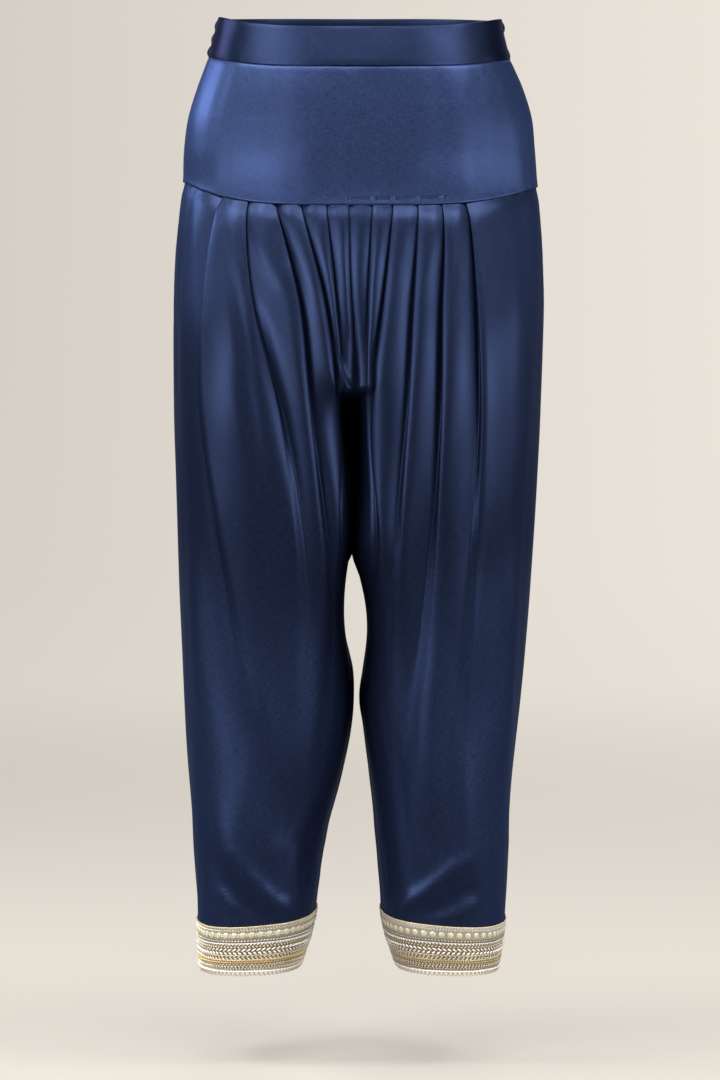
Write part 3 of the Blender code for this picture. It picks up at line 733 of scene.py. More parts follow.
# A sheet of cloth from a grid of points, rows running down. Its cut goes into the UV map, in metres.
def clothMesh(name, grid, thickness, facing, closed=False):
    rows, columns = grid.shape[:2]
    faces = []
    for row in range(rows - 1):
        for column in range(columns if closed else columns - 1):
            a = row * columns + column
            b = row * columns + (column + 1) % columns
            corners = (a, b, b + columns, a + columns)
            faces.append(corners if facing > 0 else (a, a + columns, b + columns, b))
    piece = meshPiece(name, grid.reshape(-1, 3), faces)
    steps = np.linalg.norm(np.diff(grid, axis=1), axis=2)
    across = np.concatenate([np.zeros((rows, 1)), np.cumsum(steps, axis=1)], axis=1)
    across -= across[:, -1:] / 2
    down = np.linalg.norm(np.diff(grid, axis=0), axis=2)
    down = np.concatenate([np.zeros((1, columns)), np.cumsum(down, axis=0)], axis=0)
    down = np.repeat(down.mean(axis=1, keepdims=True), columns, axis=1)
    layer = piece.data.uv_layers.new(name="cut")
    corner = np.zeros(len(piece.data.loops), int)
    piece.data.loops.foreach_get("vertex_index", corner)
    flat = np.stack([across.reshape(-1), -down.reshape(-1)], -1)[corner]
    layer.data.foreach_set("uv", flat.reshape(-1))
    if thickness:
        solid = piece.modifiers.new("thickness", "SOLIDIFY")
        solid.thickness = thickness
        solid.offset = -1
    return piece


def newMaterial(name, sockets):
    material = bpy.data.materials.new(name)
    material.use_nodes = True
    shader = material.node_tree.nodes["Principled BSDF"]
    for socket, value in sockets.items():
        shader.inputs[socket].default_value = value
    return material, material.node_tree, shader


# a shader node with its settings, its sockets' values and what feeds them; gives its output back
def addNode(tree, kind, output, values=None, feeds=None, **settings):
    node = tree.nodes.new(kind)
    for name, value in settings.items():
        setattr(node, name, value)
    for socket, value in (values or {}).items():
        node.inputs[socket].default_value = value
    for socket, source in (feeds or {}).items():
        tree.links.new(source, node.inputs[socket])
    return node.outputs[output]


def mapRange(tree, source, low, high, toLow=0.0, toHigh=1.0, curve="LINEAR"):
    values = {"From Min": low, "From Max": high, "To Min": toLow, "To Max": toHigh}
    kind = "ShaderNodeMapRange"
    return addNode(tree, kind, "Result", values, {"Value": source}, interpolation_type=curve)


def mixColours(tree, share, a, b):
    values, feeds = {}, {"Factor": share}
    for socket, colour in (("A", a), ("B", b)):
        if isinstance(colour, bpy.types.NodeSocket):
            feeds[socket] = colour
        else:
            values[socket] = (*colour, 1)
    return addNode(tree, "ShaderNodeMix", "Result", values, feeds, data_type="RGBA")


def multiply(tree, a, b):
    return addNode(tree, "ShaderNodeMath", "Value", feeds={0: a, 1: b}, operation="MULTIPLY")


def addBump(tree, shader, height, strength, distance, invert=False):
    values = {"Strength": strength, "Distance": distance}
    normal = addNode(tree, "ShaderNodeBump", "Normal", values, {"Height": height}, invert=invert)
    tree.links.new(normal, shader.inputs["Normal"])


satin = {
    "shadow": (0.0135, 0.0220, 0.060),
    "colour": (0.0215, 0.0345, 0.092),
    "metallic": 0.80,
    "specular": 0.35,
    "tint": (0.35, 0.42, 0.66, 1),
    "threads": {"stretch": (0.12, 1.0, 1.0), "scale": 1200.0, "detail": 2.0},
    "slub": {"stretch": (1.0, 0.15, 1.0), "scale": 1000.0, "detail": 3.0},
    "slubShare": 0.8,
    "grain": (0.60, 1.20),
    "roughness": (0.36, 0.48),
    # ends, low and high are ramps of painted light and shade: the colour grows darker towards a panel's
    # ends and lighter near a leg's top and towards its hems
    "ends": (0.07, 0.17),  # metres from the panel's middle
    "low": (-0.56, -0.34),  # metres down the panel
    "high": (-0.19, -0.07),
    "bump": (0.10, 0.0004),
}


def threadNoise(tree, cut, settings):
    kind, values = "ShaderNodeMapping", {"Scale": settings["stretch"]}
    stretched = addNode(tree, kind, "Vector", values, {"Vector": cut})
    kind, values = "ShaderNodeTexNoise", {"Scale": settings["scale"], "Detail": settings["detail"]}
    return addNode(tree, kind, "Fac", values, {"Vector": stretched})


def satinMaterial(name, lift, sheenTurn=0.0, stretched=0.5, paintedEndShade=1.0, paintedTopLight=1.0, paintedHemLight=1.0):
    sockets = {
        "Metallic": satin["metallic"],
        "Specular IOR Level": satin["specular"],
        "Specular Tint": satin["tint"],
        "Anisotropic": stretched,
        "Anisotropic Rotation": sheenTurn,
    }
    material, tree, shader = newMaterial(name, sockets)
    cut = addNode(tree, "ShaderNodeUVMap", "UV", uv_map="cut")
    feeds = {0: threadNoise(tree, cut, satin["slub"]), 2: threadNoise(tree, cut, satin["threads"])}
    grain = addNode(
        tree, "ShaderNodeMath", "Value", {1: satin["slubShare"]}, feeds, operation="MULTIPLY_ADD"
    )
    # lift makes this copy's colour lighter or darker all over, as painted light
    dark, light = [
        [value * share for value, share in zip(satin[tone], lift)] for tone in ("shadow", "colour")
    ]
    colour = mixColours(tree, mapRange(tree, grain, *satin["grain"]), dark, light)

    parts = tree.nodes.new("ShaderNodeSeparateXYZ")
    tree.links.new(cut, parts.inputs["Vector"])
    along, down = parts.outputs["X"], parts.outputs["Y"]
    # painted shade and light: the colour is scaled darker at the panel's ends, lighter near its top and
    # towards its hems
    away = addNode(tree, "ShaderNodeMath", "Value", feeds={0: along}, operation="ABSOLUTE")
    ends = mapRange(tree, away, *satin["ends"], 1.0, paintedEndShade, "SMOOTHSTEP")
    low = mapRange(tree, down, *satin["low"], paintedHemLight, 1.0, "SMOOTHSTEP")
    high = mapRange(tree, down, *satin["high"], 1.0, paintedTopLight, "SMOOTHSTEP")
    feeds = {0: colour, "Scale": multiply(tree, ends, multiply(tree, high, low))}
    colourWithPaintedLight = addNode(tree, "ShaderNodeVectorMath", "Vector", feeds=feeds, operation="SCALE")
    tree.links.new(colourWithPaintedLight, shader.inputs["Base Color"])
    rough = mapRange(tree, grain, *satin["grain"], *satin["roughness"])
    tree.links.new(rough, shader.inputs["Roughness"])
    addBump(tree, shader, grain, *satin["bump"])
    return material


# one satin in three copies lit and shaded by painted light: the yoke's colour is lifted lighter, the legs'
# darker, and the legs are painted lighter near the top and towards the hems
satinLegs = satinMaterial(
    "navySatin", (0.62, 0.605, 0.57), stretched=0.35, paintedTopLight=1.42, paintedHemLight=1.86
)
satinYoke = satinMaterial("navySatinPaintedLighter", (1.50, 1.50, 1.46), stretched=0.30)
satinBand = satinMaterial(  # cut across the grain, with painted shade darkening its ends
    "navySatinBand", (1.02, 1.02, 0.98), sheenTurn=0.25, stretched=0.65, paintedEndShade=0.20
)


def finish(piece, material, nodes=()):
    piece.data.materials.append(material)
    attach(piece, "root")
    if nodes:
        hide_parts(*nodes)
    return piece


# Waistband. Columns and the columns over which its ends close are given for each face.
band = {
    "columns": {"front": 150, "back": 560},
    "rows": {"front": 12, "back": 22},
    "ends": {"front": 8, "back": 14},
    "foldSteps": 5,
    "insideRows": 8,
    "measuredRow": 8,
    "proud": 0.0008,
    "thick": 0.0022,
    "foldHigh": 0.0006,
    "crown": 0.35,  # mm
    "lowEdge": 0.9,  # mm
    "lowEdgeShare": 0.06,
    "waver": 0.18,  # mm
    "channels": 3,
    "puff": 1.6,
    "gathers": 46,
    "gatherDepth": 1.5,
}


def panelAngles(face, columns):
    if face == "front":
        return np.linspace(np.pi / 2, -np.pi / 2, columns)
    return np.linspace(np.pi / 2, 3 * np.pi / 2, columns)


def endColumns(columns):
    return np.minimum(np.arange(columns), np.arange(columns)[::-1])


def outwardRing(angle, height):
    ring = hipRing(angle, height)
    return ring, unit(ring * (1, 1, 0))


def gatherWave(angle, count, seed):
    run = (angle - angle[0]) / (angle[-1] - angle[0])
    uneven = run + 0.010 * np.sin(run * 41 + seed) + 0.006 * np.sin(run * 97 + 2 * seed)
    size = 0.75 + 0.25 * np.sin(run * 57 + seed) + 0.15 * np.sin(run * 131)
    return np.sin(2 * np.pi * count * uneven) * size


def bandGrid(face):
    columns, rows = band["columns"][face], band["rows"][face]
    angle = panelAngles(face, columns)
    top = seamLine("bandTop", angle) - shape["seamGap"] / 2
    bottom = seamLine("bandBottom", angle) + shape["seamGap"] / 2
    ends = ease(endColumns(columns) / band["ends"][face])
    grid = []
    for row in range(rows):
        share = row / (rows - 1)
        ring, out = outwardRing(angle, bottom + (top - bottom) * share)
        lowEdge = band["lowEdge"] * bump(share, band["lowEdgeShare"])
        rise = 0 * angle + band["crown"] * math.sin(math.pi * share) - lowEdge
        rise = rise + band["waver"] * softWaves(angle * 9, 0 * angle + share * 4, 6.0)
        if face == "back":
            puffs = abs(math.sin(share * band["channels"] * math.pi))
            channel = math.floor(share * band["channels"] * 0.999)
            wave = gatherWave(angle, band["gathers"], 1.0 + channel * 0.35)
            gathers = band["gatherDepth"] * wave * (0.35 + 0.65 * puffs)
            rise = rise + ends * (band["puff"] * puffs + gathers)
        grid.append(ring + out * (band["proud"] + rise * mm)[:, None])
    for step in range(1, band["foldSteps"]):
        turn = math.pi * step / band["foldSteps"]
        ring, out = outwardRing(angle, top)
        inset = band["thick"] / 2 * (1 - math.cos(turn))
        grid.append(ring + out * (band["proud"] - inset) + [0, 0, band["foldHigh"] * math.sin(turn)])
    for row in range(band["insideRows"]):
        share = 1 - row / (band["insideRows"] - 1)
        ring, out = outwardRing(angle, bottom + (top - bottom) * share)
        grid.append(ring + out * (band["proud"] - band["thick"]))
    return np.array(grid)[::-1]


for face in ("front", "back"):
    grid = bandGrid(face)
    piece = clothMesh(f"waistband{face.title()}", grid, 0.0, 1)
    finish(piece, satinBand, (f"waistband_{face}",))
print("waistband made")

# Yoke. Sizes of its unevenness are in mm; gathers run down from the elastic at the back.
yoke = {
    "columns": {"front": 190, "back": 420},
    "ends": {"front": 10, "back": 24},
    "sideSeam": {"front": 1.6, "back": 3.0},
    "sideDip": 0.6,
    "rows": 64,
    "thick": 0.0006,
    "waves": ((0.30, 6, 30, 7.0), (0.28, 20, 24, 2.0)),
    "grain": 0.05,
    "topDip": 0.8,
    "topDipShare": 0.015,
    "lowRoll": 0.35,
    "lowRollShare": 0.03,
    "gatherDepth": 1.7,
    "gathersEnd": 0.80,
    "lowWaves": 11,
    "lowWaveDepth": 1.1,
}


def yokeGrid(face):
    columns = yoke["columns"][face]
    angle = panelAngles(face, columns)
    top = seamLine("bandBottom", angle) - shape["seamGap"] / 2
    bottom = seamLine("yokeBottom", angle) + shape["seamGap"] / 2
    fromEnd = endColumns(columns)
    ends = ease(fromEnd / yoke["ends"][face])
    grid = []
    for row in range(yoke["rows"]):
        share = row / (yoke["rows"] - 1)
        height = top + (bottom - top) * share
        ring, out = outwardRing(angle, height)
        rise = 0 * angle
        for size, along, down, seed in yoke["waves"]:
            rise = rise + size * softWaves(angle * along, height * down, seed) * ends
        rise = rise + yoke["grain"] * softWaves(angle * 60, height * 400, 8.0)
        roll = yoke["lowRoll"] * bump(1 - share, yoke["lowRollShare"])
        rise = rise - yoke["topDip"] * bump(share, yoke["topDipShare"]) + roll
        rise = rise - yoke["sideDip"] * bump(fromEnd, yoke["sideSeam"][face])
        if face == "front":
            rise = rise + foldRise(softFolds["yokeFront"], ring[:, 0], ring[:, 2]) / mm * ends
        else:
            fade = (1 - ease(share / yoke["gathersEnd"])) * (0.4 + 0.6 * ease(share / 0.06))
            rise = rise + ends * gatherWave(angle, band["gathers"], 1.7) * yoke["gatherDepth"] * fade
            fade = ease(share / 0.3) * (1 - 0.5 * share)
            rise = rise + ends * gatherWave(angle, yoke["lowWaves"], 0.6) * yoke["lowWaveDepth"] * fade
        grid.append(ring + out * (rise * mm)[:, None])
    return np.array(grid)


for face in ("front", "back"):
    grid = yokeGrid(face)
    piece = clothMesh(f"yoke{face.title()}", grid, yoke["thick"], -1)
    finish(piece, satinYoke, (f"yoke_{face}",))
print("yoke made")

# Legs. Each panel narrows to the hem.
clothThick = 0.0006
legParts = {}
for leg in ("right", "left"):
    legParts[leg] = legGrid(leg)
    turn = 1 if leg == "right" else -1
    for face, grid, facing in zip(("front", "back"), legParts[leg], (turn, -turn)):
        piece = clothMesh(f"{leg}Leg{face.title()}", grid, clothThick, facing)
        finish(piece, satinLegs, (f"leg_{leg}_{face}",))
print("legs made")

# Hem borders. at is mm below the border's top edge, lean in degrees, other sizes in mm,
# but how proud and thick the net is in metres.
hemBorder = {
    "surfaceRows": 12,
    "lapColumns": 9,
    "spots": 180,
    "smoothed": 6,
    "baseProud": 0.0011,
    "baseThick": 0.0006,
    "baseHigh": 45.5,
    "baseRows": 14,
    "stitchColumns": ("name", "thread", "at", "pitch", "long", "wide", "thick", "lean"),
    "stitches": (
        ("topBraid", "gold", 1.5, 2.9, 3.0, 1.3, 1.3, 48),
        ("topBraid", "silver", 3.5, 2.9, 3.0, 1.2, 1.3, -42),
        ("netEdge", "silver", 14.4, 3.2, 2.9, 1.3, 1.3, 30),
        ("leafRow", "silver", 17.9, 3.6, 3.8, 1.7, 1.6, 42),
        ("leafRow", "gold", 20.4, 3.6, 3.6, 1.6, 1.4, -40),
        ("plait", "silver", 23.6, 4.9, 5.6, 2.2, 2.2, 36),
        ("plait", "silver", 27.0, 4.9, 5.6, 2.2, 2.2, -36),
        ("chain", "gold", 30.4, 4.3, 3.6, 1.4, 1.6, 32),
        ("chain", "silver", 32.3, 4.3, 3.6, 1.3, 1.6, -32),
        ("yellowBraid", "yellow", 34.4, 2.4, 2.9, 1.2, 1.3, 38),
        ("yellowBraid", "yellow", 36.2, 2.4, 2.9, 1.2, 1.3, -38),
        ("lowChain", "gold", 38.5, 3.6, 3.3, 1.3, 1.5, 40),
        ("lowChain", "silver", 40.4, 3.6, 3.3, 1.3, 1.5, -40),
        ("lowBraid", "gold", 42.3, 2.9, 3.0, 1.2, 1.3, 36),
        ("lowBraid", "silver", 43.9, 2.9, 2.6, 1.1, 1.2, -36),
    ),
    "dots": {
        "at": 8.6,
        "pitch": 8.7,
        "across": 6.2,
        "thick": 0.9,
        "around": 18,
        "rings": ((0.45, 0.96), (0.72, 0.9), (0.8, 0.72), (0.93, 0.85), (1.0, 0.35), (1.0, 0.0)),
    },
    "links": {"at": 8.6, "long": 3.6, "wide": 0.8, "thick": 0.8, "offsets": (-1.3, 0.0, 1.3)},
    "cordSpots": 260,
    "cordSides": 8,
    "cords": (  # at, thick, thread
        (0.3, 1.0, "gold"),
        (16.9, 0.9, "cream"),
        (29.0, 0.9, "gold"),
        (33.5, 0.8, "gold"),
        (45.2, 1.5, "cream"),
    ),
    "picots": {"at": 46.2, "pitch": 4.6, "long": 4.2, "wide": 4.0, "thread": 1.0, "steps": 12, "sides": 6},
}


def threadMaterial(name, colour, metallic, roughness, scale=900.0):
    material, tree, shader = newMaterial(name, {"Metallic": metallic})
    where = tree.nodes.new("ShaderNodeTexCoord").outputs["Object"]
    values = {"Scale": scale, "Detail": 2.0}
    noise = addNode(tree, "ShaderNodeTexNoise", "Fac", values, {"Vector": where})
    dark = [value * 0.62 for value in colour]
    light = [min(1.0, value * 1.22) for value in colour]
    tree.links.new(mixColours(tree, noise, dark, light), shader.inputs["Base Color"])
    rough = mapRange(tree, noise, 0.0, 1.0, roughness - 0.08, roughness + 0.12)
    tree.links.new(rough, shader.inputs["Roughness"])
    addBump(tree, shader, noise, 0.4, 0.0002)
    return material


threads = {
    "gold": threadMaterial("goldThread", (0.86, 0.68, 0.44), 0.35, 0.34),
    "silver": threadMaterial("silverThread", (0.98, 0.89, 0.76), 0.35, 0.28),
    "yellow": threadMaterial("yellowGoldThread", (0.86, 0.64, 0.30), 0.35, 0.32),
    "cream": threadMaterial("creamCord", (0.95, 0.90, 0.80), 0.05, 0.50),
    "dot": threadMaterial("goldDot", (0.90, 0.76, 0.50), 0.35, 0.30, 500.0),
    "picot": threadMaterial("picotThread", (0.66, 0.53, 0.36), 0.30, 0.36),
}

net = {
    "metallic": 0.10,
    "ends": (-0.0150, -0.0130),  # metres below the border's top edge
    "meshScale": 1100.0,
    "holes": 0.22,
    "thread": (0.46, 0.42, 0.36),
    "hole": (0.19, 0.175, 0.155),
    "ground": (0.165, 0.125, 0.080),
    "roughness": (0.45, 0.70),
    "bump": (0.5, 0.0002),
}


# grey net under the dots, darker ground where the braids lie close
def netMaterial():
    material, tree, shader = newMaterial("greyNet", {"Metallic": net["metallic"]})
    cut = addNode(tree, "ShaderNodeUVMap", "UV", uv_map="cut")
    down = addNode(tree, "ShaderNodeSeparateXYZ", "Y", feeds={"Vector": cut})
    kind, values, feeds = "ShaderNodeTexVoronoi", {"Scale": net["meshScale"]}, {"Vector": cut}
    mesh = addNode(tree, kind, "Distance", values, feeds, feature="DISTANCE_TO_EDGE")
    holes = mapRange(tree, mesh, 0.0, net["holes"])
    netting = mixColours(tree, holes, net["thread"], net["hole"])
    colour = mixColours(tree, mapRange(tree, down, *net["ends"]), net["ground"], netting)
    tree.links.new(colour, shader.inputs["Base Color"])
    rough = mapRange(tree, mesh, 0.0, 1.0, *net["roughness"])
    tree.links.new(rough, shader.inputs["Roughness"])
    addBump(tree, shader, mesh, *net["bump"], invert=True)
    return material


netCloth = netMaterial()


# the border's own surface: a place mm round the ring and mm below its top edge
def borderSurface(leg):
    front, back = legParts[leg]
    rows, skipped = hemBorder["surfaceRows"], hemBorder["lapColumns"]
    ring = np.concatenate([front[-rows:, skipped:], back[-rows:, skipped:-1][:, ::-1]], axis=1)
    evened = []
    for row in ring:
        closed = np.concatenate([row, row[:1]])
        run = gone(closed)
        points = pointAt(closed, run, np.linspace(0, run[-1], hemBorder["spots"] + 1)[:-1])
        for _ in range(hemBorder["smoothed"]):
            points = (np.roll(points, 1, axis=0) + 2 * points + np.roll(points, -1, axis=0)) / 4
        evened.append(points)
    return np.array(evened)


def ringAt(surface, atMm):
    rows = len(surface)
    total = (shape["borderTop"] - shape["clothEdge"]) / mm
    place = atMm / total * (rows - 1)
    low = int(np.clip(math.floor(place), 0, rows - 2))
    t = place - low
    points = surface[low] * (1 - t) + surface[low + 1] * t
    return points, unit(surface[low + 1] - surface[low])


# places round the ring, with the ways along it, down and out, and the ring's length
def ringFrames(surface, atMm, count, shift=0.0):
    points, down = ringAt(surface, atMm)
    closed = np.concatenate([points, points[:1]])
    run = gone(closed)
    spots = (np.arange(count) + 0.5 + shift) / count * run[-1] % run[-1]
    place = pointAt(closed, run, spots)
    ahead = unit(pointAt(closed, run, (spots + 0.001) % run[-1]) - place)
    downThere = unit(pointAt(np.concatenate([down, down[:1]]), run, spots))
    out = np.cross(ahead, downThere)
    if ((place - points.mean(axis=0)) * out).sum() < 0:
        out = -out
    return place, ahead, downThere, unit(out), run[-1]


def countRound(surface, atMm, pitch):
    return int(round(ringFrames(surface, atMm, 1)[4] / mm / pitch))


# where each copy is sewn on, leaning by so many radians
def sewnPlaces(surface, atMm, count, shift=0.0, leans=None):
    place, ahead, down, out, _ = ringFrames(surface, atMm, count, shift)
    leans = np.zeros(count) if leans is None else leans
    places = []
    for index, lean in enumerate(leans):
        along = math.cos(lean) * ahead[index] + math.sin(lean) * down[index]
        across = -math.sin(lean) * ahead[index] + math.cos(lean) * down[index]
        origin = place[index] + out[index] * hemBorder["baseProud"]
        places.append((origin, np.array([along, across, out[index]])))
    return places


def instanceMesh(name, base, faces, places):
    points, allFaces = [], []
    for number, (origin, axes) in enumerate(places):
        points.append(origin + base @ axes)
        offset = number * len(base)
        allFaces += [tuple(index + offset for index in face) for face in faces]
    return meshPiece(name, np.concatenate(points), allFaces)


# faces between rings of points, ring after ring
def ringFaces(rings, around, first=0, closed=False):
    faces = []
    for turn in range(around):
        after = (turn + 1) % around
        for ring in range(rings if closed else rings - 1):
            a, b = first + ring * around, first + (ring + 1) % rings * around
            faces.append((a + turn, a + after, b + after, b + turn))
    return faces


def circle(count):
    return [2 * math.pi * turn / count for turn in range(count)]


# one stitch: a closed grain of thread, fat in the middle, flat at the back
def stitchShape(long, wide, thick):
    around, along = 6, 5
    lift = 0.15 * thick
    points = [(-long / 2, 0.0, lift)]
    for step in range(1, along):
        t = step / along
        size = math.sin(math.pi * t) ** 0.6
        for angle in circle(around):
            across, high = wide / 2 * size * math.cos(angle), thick / 2 * size * math.sin(angle)
            points.append((-long / 2 + long * t, across, high + lift))
    points.append((long / 2, 0.0, lift))
    faces = ringFaces(along - 1, around, 1)
    last = 1 + (along - 2) * around
    for turn in range(around):
        after = (turn + 1) % around
        faces.append((0, 1 + after, 1 + turn))
        faces.append((last + turn, last + after, len(points) - 1))
    return np.array(points) * mm, faces


def stitchRow(leg, surface, row, number):
    count = countRound(surface, row["at"], row["pitch"])
    lean = math.radians(row["lean"])
    leans = [lean + 0.09 * math.sin(index * 2.3 + number) for index in range(count)]
    base, faces = stitchShape(row["long"], row["wide"], row["thick"])
    places = sewnPlaces(surface, row["at"], count, 0.37 * number, leans)
    name = f"{leg}{row['name'][0].upper()}{row['name'][1:]}{number}"
    return instanceMesh(name, base, faces, places)


def cordMesh(name, surface, atMm, thick):
    place, ahead, down, out, length = ringFrames(surface, atMm, hemBorder["cordSpots"])
    centre = place + out * (hemBorder["baseProud"] + thick * mm * 0.35)
    grid = [
        centre + (math.cos(angle) * down + math.sin(angle) * out) * thick * mm / 2
        for angle in circle(hemBorder["cordSides"])
    ]
    faces = ringFaces(len(grid), len(place), closed=True)
    return meshPiece(name, np.concatenate(grid), faces)


def dotRow(leg, surface):
    row = hemBorder["dots"]
    around, rings = row["around"], row["rings"]
    points = [(0, 0, row["thick"])]
    for reach, lift in rings:
        for angle in circle(around):
            radius = reach * row["across"] / 2
            points.append((radius * math.cos(angle), radius * math.sin(angle), lift * row["thick"]))
    faces = [face[::-1] for face in ringFaces(len(rings), around, 1)]
    for turn in range(around):
        faces.append((0, 1 + turn, 1 + (turn + 1) % around))
    faces.append(tuple(1 + (len(rings) - 1) * around + turn for turn in range(around))[::-1])
    places = sewnPlaces(surface, row["at"], countRound(surface, row["at"], row["pitch"]))
    return instanceMesh(f"{leg}Dots", np.array(points) * mm, faces, places)


def dotLinks(leg, surface):
    row = hemBorder["links"]
    count = countRound(surface, row["at"], hemBorder["dots"]["pitch"])
    base, faces = stitchShape(row["long"], row["wide"], row["thick"])
    places = []
    for offset in row["offsets"]:
        places += sewnPlaces(surface, row["at"] + offset, count, 0.5)
    return instanceMesh(f"{leg}DotLinks", base, faces, places)


# one picot: a bent loop of thread that hangs below the last cord
def picotRow(leg, surface):
    row = hemBorder["picots"]
    steps, sides = row["steps"], row["sides"]
    points = []
    for step in range(steps + 1):
        angle = math.pi * (step / steps * 1.24 - 0.12)
        hang = row["long"] * max(-0.05, math.sin(angle)) * 0.8
        middle = np.array([-row["wide"] / 2 * math.cos(angle), hang, 0.0])
        spoke = np.array([-math.cos(angle), math.sin(angle), 0.0])
        for bend in circle(sides):
            away = spoke * math.cos(bend) + np.array([0, 0, 1.0]) * math.sin(bend)
            points.append(middle + row["thread"] / 2 * away)
    faces = ringFaces(steps + 1, sides)
    faces.append(tuple(range(sides))[::-1])
    faces.append(tuple(steps * sides + turn for turn in range(sides)))
    places = sewnPlaces(surface, row["at"], countRound(surface, row["at"], row["pitch"]))
    return instanceMesh(f"{leg}Picots", np.array(points) * mm, faces, places)


for leg in ("right", "left"):
    surface = borderSurface(leg)
    for number, values in enumerate(hemBorder["stitches"]):
        row = dict(zip(hemBorder["stitchColumns"], values))
        finish(stitchRow(leg, surface, row, number), threads[row["thread"]])
    for number, values in enumerate(hemBorder["cords"]):
        atMm, thick, thread = values
        piece = cordMesh(f"{leg}Cord{number}", surface, atMm, thick)
        finish(piece, threads[thread])
    finish(dotRow(leg, surface), threads["dot"])
    finish(dotLinks(leg, surface), threads["cream"])
    finish(picotRow(leg, surface), threads["picot"])
    grid = []
    for atMm in np.linspace(0, hemBorder["baseHigh"], hemBorder["baseRows"]):
        place, ahead, down, out, length = ringFrames(surface, atMm, hemBorder["spots"])
        grid.append(place + out * hemBorder["baseProud"])
    base = clothMesh(f"{leg}BorderNet", np.array(grid), hemBorder["baseThick"], 1, closed=True)
    finish(base, netCloth, (f"border_{leg}",))
    print(f"{leg} border made, {length:.3f} m round")

# Round pale cove, lights and camera. Lights are aimed rectangles; powers in watts.
studio = {
    "floor": -1.022,
    "wall": 9.5,
    "bend": 1.5,
    "bendSteps": 16,
    "top": 6.0,
    "around": 96,
    "floorRings": (0.0, 1.0, 2.0, 3.0, 4.5, 6.0),
    "pale": (0.45, 0.426, 0.392, 1),
    "glow": (0.72, 0.675, 0.61, 1),
    "glowNear": 0.50,
    "glowReach": (0.9, 5.0),
    "sideReach": (-1.6, 1.6),
    "sideGlow": (0.865, 1.20),
    "tint": (1.0, 0.985, 0.96),
    "lightColumns": ("name", "at", "aim", "size", "power"),
    "lights": (
        ("topLight", (0.0, -1.45, 2.26), (0, 0, -0.25), (1.2, 1.2), 47),
        ("highKeyLight", (-1.62, -0.76, 2.04), (0, 0, -0.25), (1.2, 1.2), 80),
        ("highFillLight", (1.55, -0.89, 2.04), (0, 0, -0.25), (1.2, 1.2), 61),
        ("keyLight", (-2.62, -1.22, 0.0), (0, 0, -0.25), (1.2, 1.2), 14),
        ("frontLight", (-1.64, -2.34, 0.25), (0, 0, -0.25), (1.2, 1.2), 13),
        ("fillLight", (2.50, -1.44, 0.0), (0, 0, -0.25), (1.2, 1.2), 11),
        ("sideLight", (-2.45, 1.10, 0.80), (0, 0, -0.12), (1.0, 0.7), 42),
        ("farSideLight", (2.90, 0.0, -0.20), (0, 0, -0.25), (1.2, 1.0), 18),
        ("lowLight", (-2.0, -1.90, -0.45), (0, 0, -0.88), (1.2, 0.6), 33),
        ("lowFillLight", (2.0, -1.90, -0.45), (0, 0, -0.88), (1.2, 0.6), 33),
        ("backLight", (0.6, 3.0, 2.2), (0, 0, -0.4), (1.6, 1.2), 40),
    ),
    "air": (0.86, 0.84, 0.81, 1),
    "airPower": 0.35,
}


# paper that glows more with its distance from the middle, and a little more on the left leg's side
def paleMaterial():
    sockets = {"Roughness": 0.9, "Specular IOR Level": 0.1, "Base Color": studio["pale"]}
    material, tree, shader = newMaterial("palePaper", sockets)
    parts = tree.nodes.new("ShaderNodeSeparateXYZ")
    tree.links.new(tree.nodes.new("ShaderNodeTexCoord").outputs["Object"], parts.inputs["Vector"])
    side = mapRange(tree, parts.outputs["X"], *studio["sideReach"], *studio["sideGlow"])
    values, feeds = {"Color": studio["glow"]}, {"Strength": side}
    glow = addNode(tree, "ShaderNodeEmission", "Emission", values, feeds)
    feeds = {"X": parts.outputs["X"], "Y": parts.outputs["Y"]}
    flat = addNode(tree, "ShaderNodeCombineXYZ", "Vector", feeds=feeds)
    reach = addNode(tree, "ShaderNodeVectorMath", "Value", feeds={0: flat}, operation="LENGTH")
    share = mapRange(tree, reach, *studio["glowReach"], studio["glowNear"], 1.0, "SMOOTHSTEP")
    feeds = {"Fac": share, 1: shader.outputs["BSDF"], 2: glow}
    both = addNode(tree, "ShaderNodeMixShader", "Shader", feeds=feeds)
    tree.links.new(both, tree.nodes["Material Output"].inputs["Surface"])
    return material


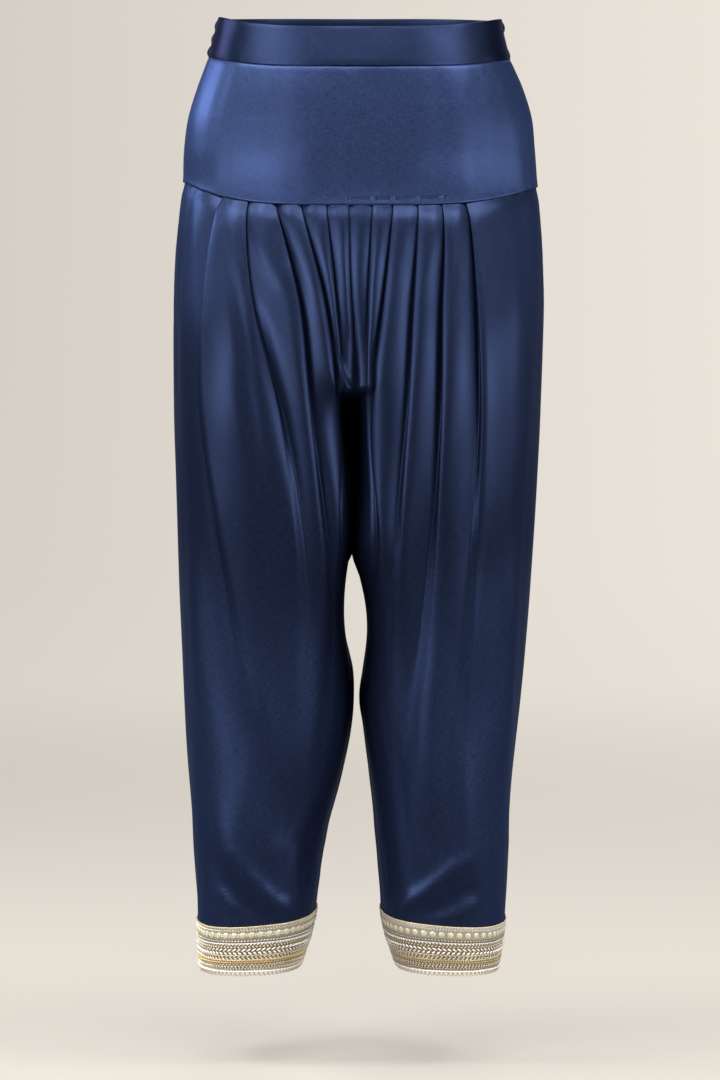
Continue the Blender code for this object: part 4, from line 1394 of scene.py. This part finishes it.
# the floor runs out flat all round, then bends up into a wall far behind every camera
def cove():
    floor, wall, bend, steps = [studio[name] for name in ("floor", "wall", "bend", "bendSteps")]
    profile = [(reach, floor) for reach in (*studio["floorRings"], wall - bend)]
    for step in range(1, steps + 1):
        angle = math.pi / 2 * step / steps
        profile.append((wall - bend + bend * math.sin(angle), floor + bend * (1 - math.cos(angle))))
    profile.append((wall, studio["top"]))
    points = [
        (reach * math.cos(angle), reach * math.sin(angle), height)
        for reach, height in profile
        for angle in circle(studio["around"])
    ]
    piece = meshPiece("cove", np.array(points), ringFaces(len(profile), studio["around"]))
    piece.data.materials.append(paleMaterial())
    piece.visible_diffuse = False
    piece.visible_glossy = False


def aimed(place, aim):
    return (Vector(aim) - Vector(place)).to_track_quat("-Z", "Y").to_euler()


cove()
for values in studio["lights"]:
    light = dict(zip(studio["lightColumns"], values))
    data = bpy.data.lights.new(light["name"], "AREA")
    data.shape = "RECTANGLE"
    data.size, data.size_y = light["size"]
    data.energy = light["power"]
    data.color = studio["tint"]
    lamp = bpy.data.objects.new(light["name"], data)
    lamp.location = light["at"]
    lamp.rotation_euler = aimed(light["at"], light["aim"])
    lamp.visible_camera = False
    bpy.context.scene.collection.objects.link(lamp)

world = bpy.data.worlds.new("studio")
world.use_nodes = True
world.node_tree.nodes["Background"].inputs["Color"].default_value = studio["air"]
world.node_tree.nodes["Background"].inputs["Strength"].default_value = studio["airPower"]
bpy.context.scene.world = world

view = {"at": (0.001, -5.0, -0.25), "aim": (0.001, 0.0, -0.500), "frameHeight": 1.08, "sensor": 36.0}
cameraData = bpy.data.cameras.new("camera")
cameraData.sensor_width = view["sensor"]
distance = (Vector(view["aim"]) - Vector(view["at"])).length
cameraData.lens = view["sensor"] * distance / view["frameHeight"]
camera = bpy.data.objects.new("camera", cameraData)
camera.location = view["at"]
camera.rotation_euler = aimed(view["at"], view["aim"])
bpy.context.scene.collection.objects.link(camera)
bpy.context.scene.camera = camera
bpy.context.scene.view_settings.view_transform = "Standard"
print("studio made")
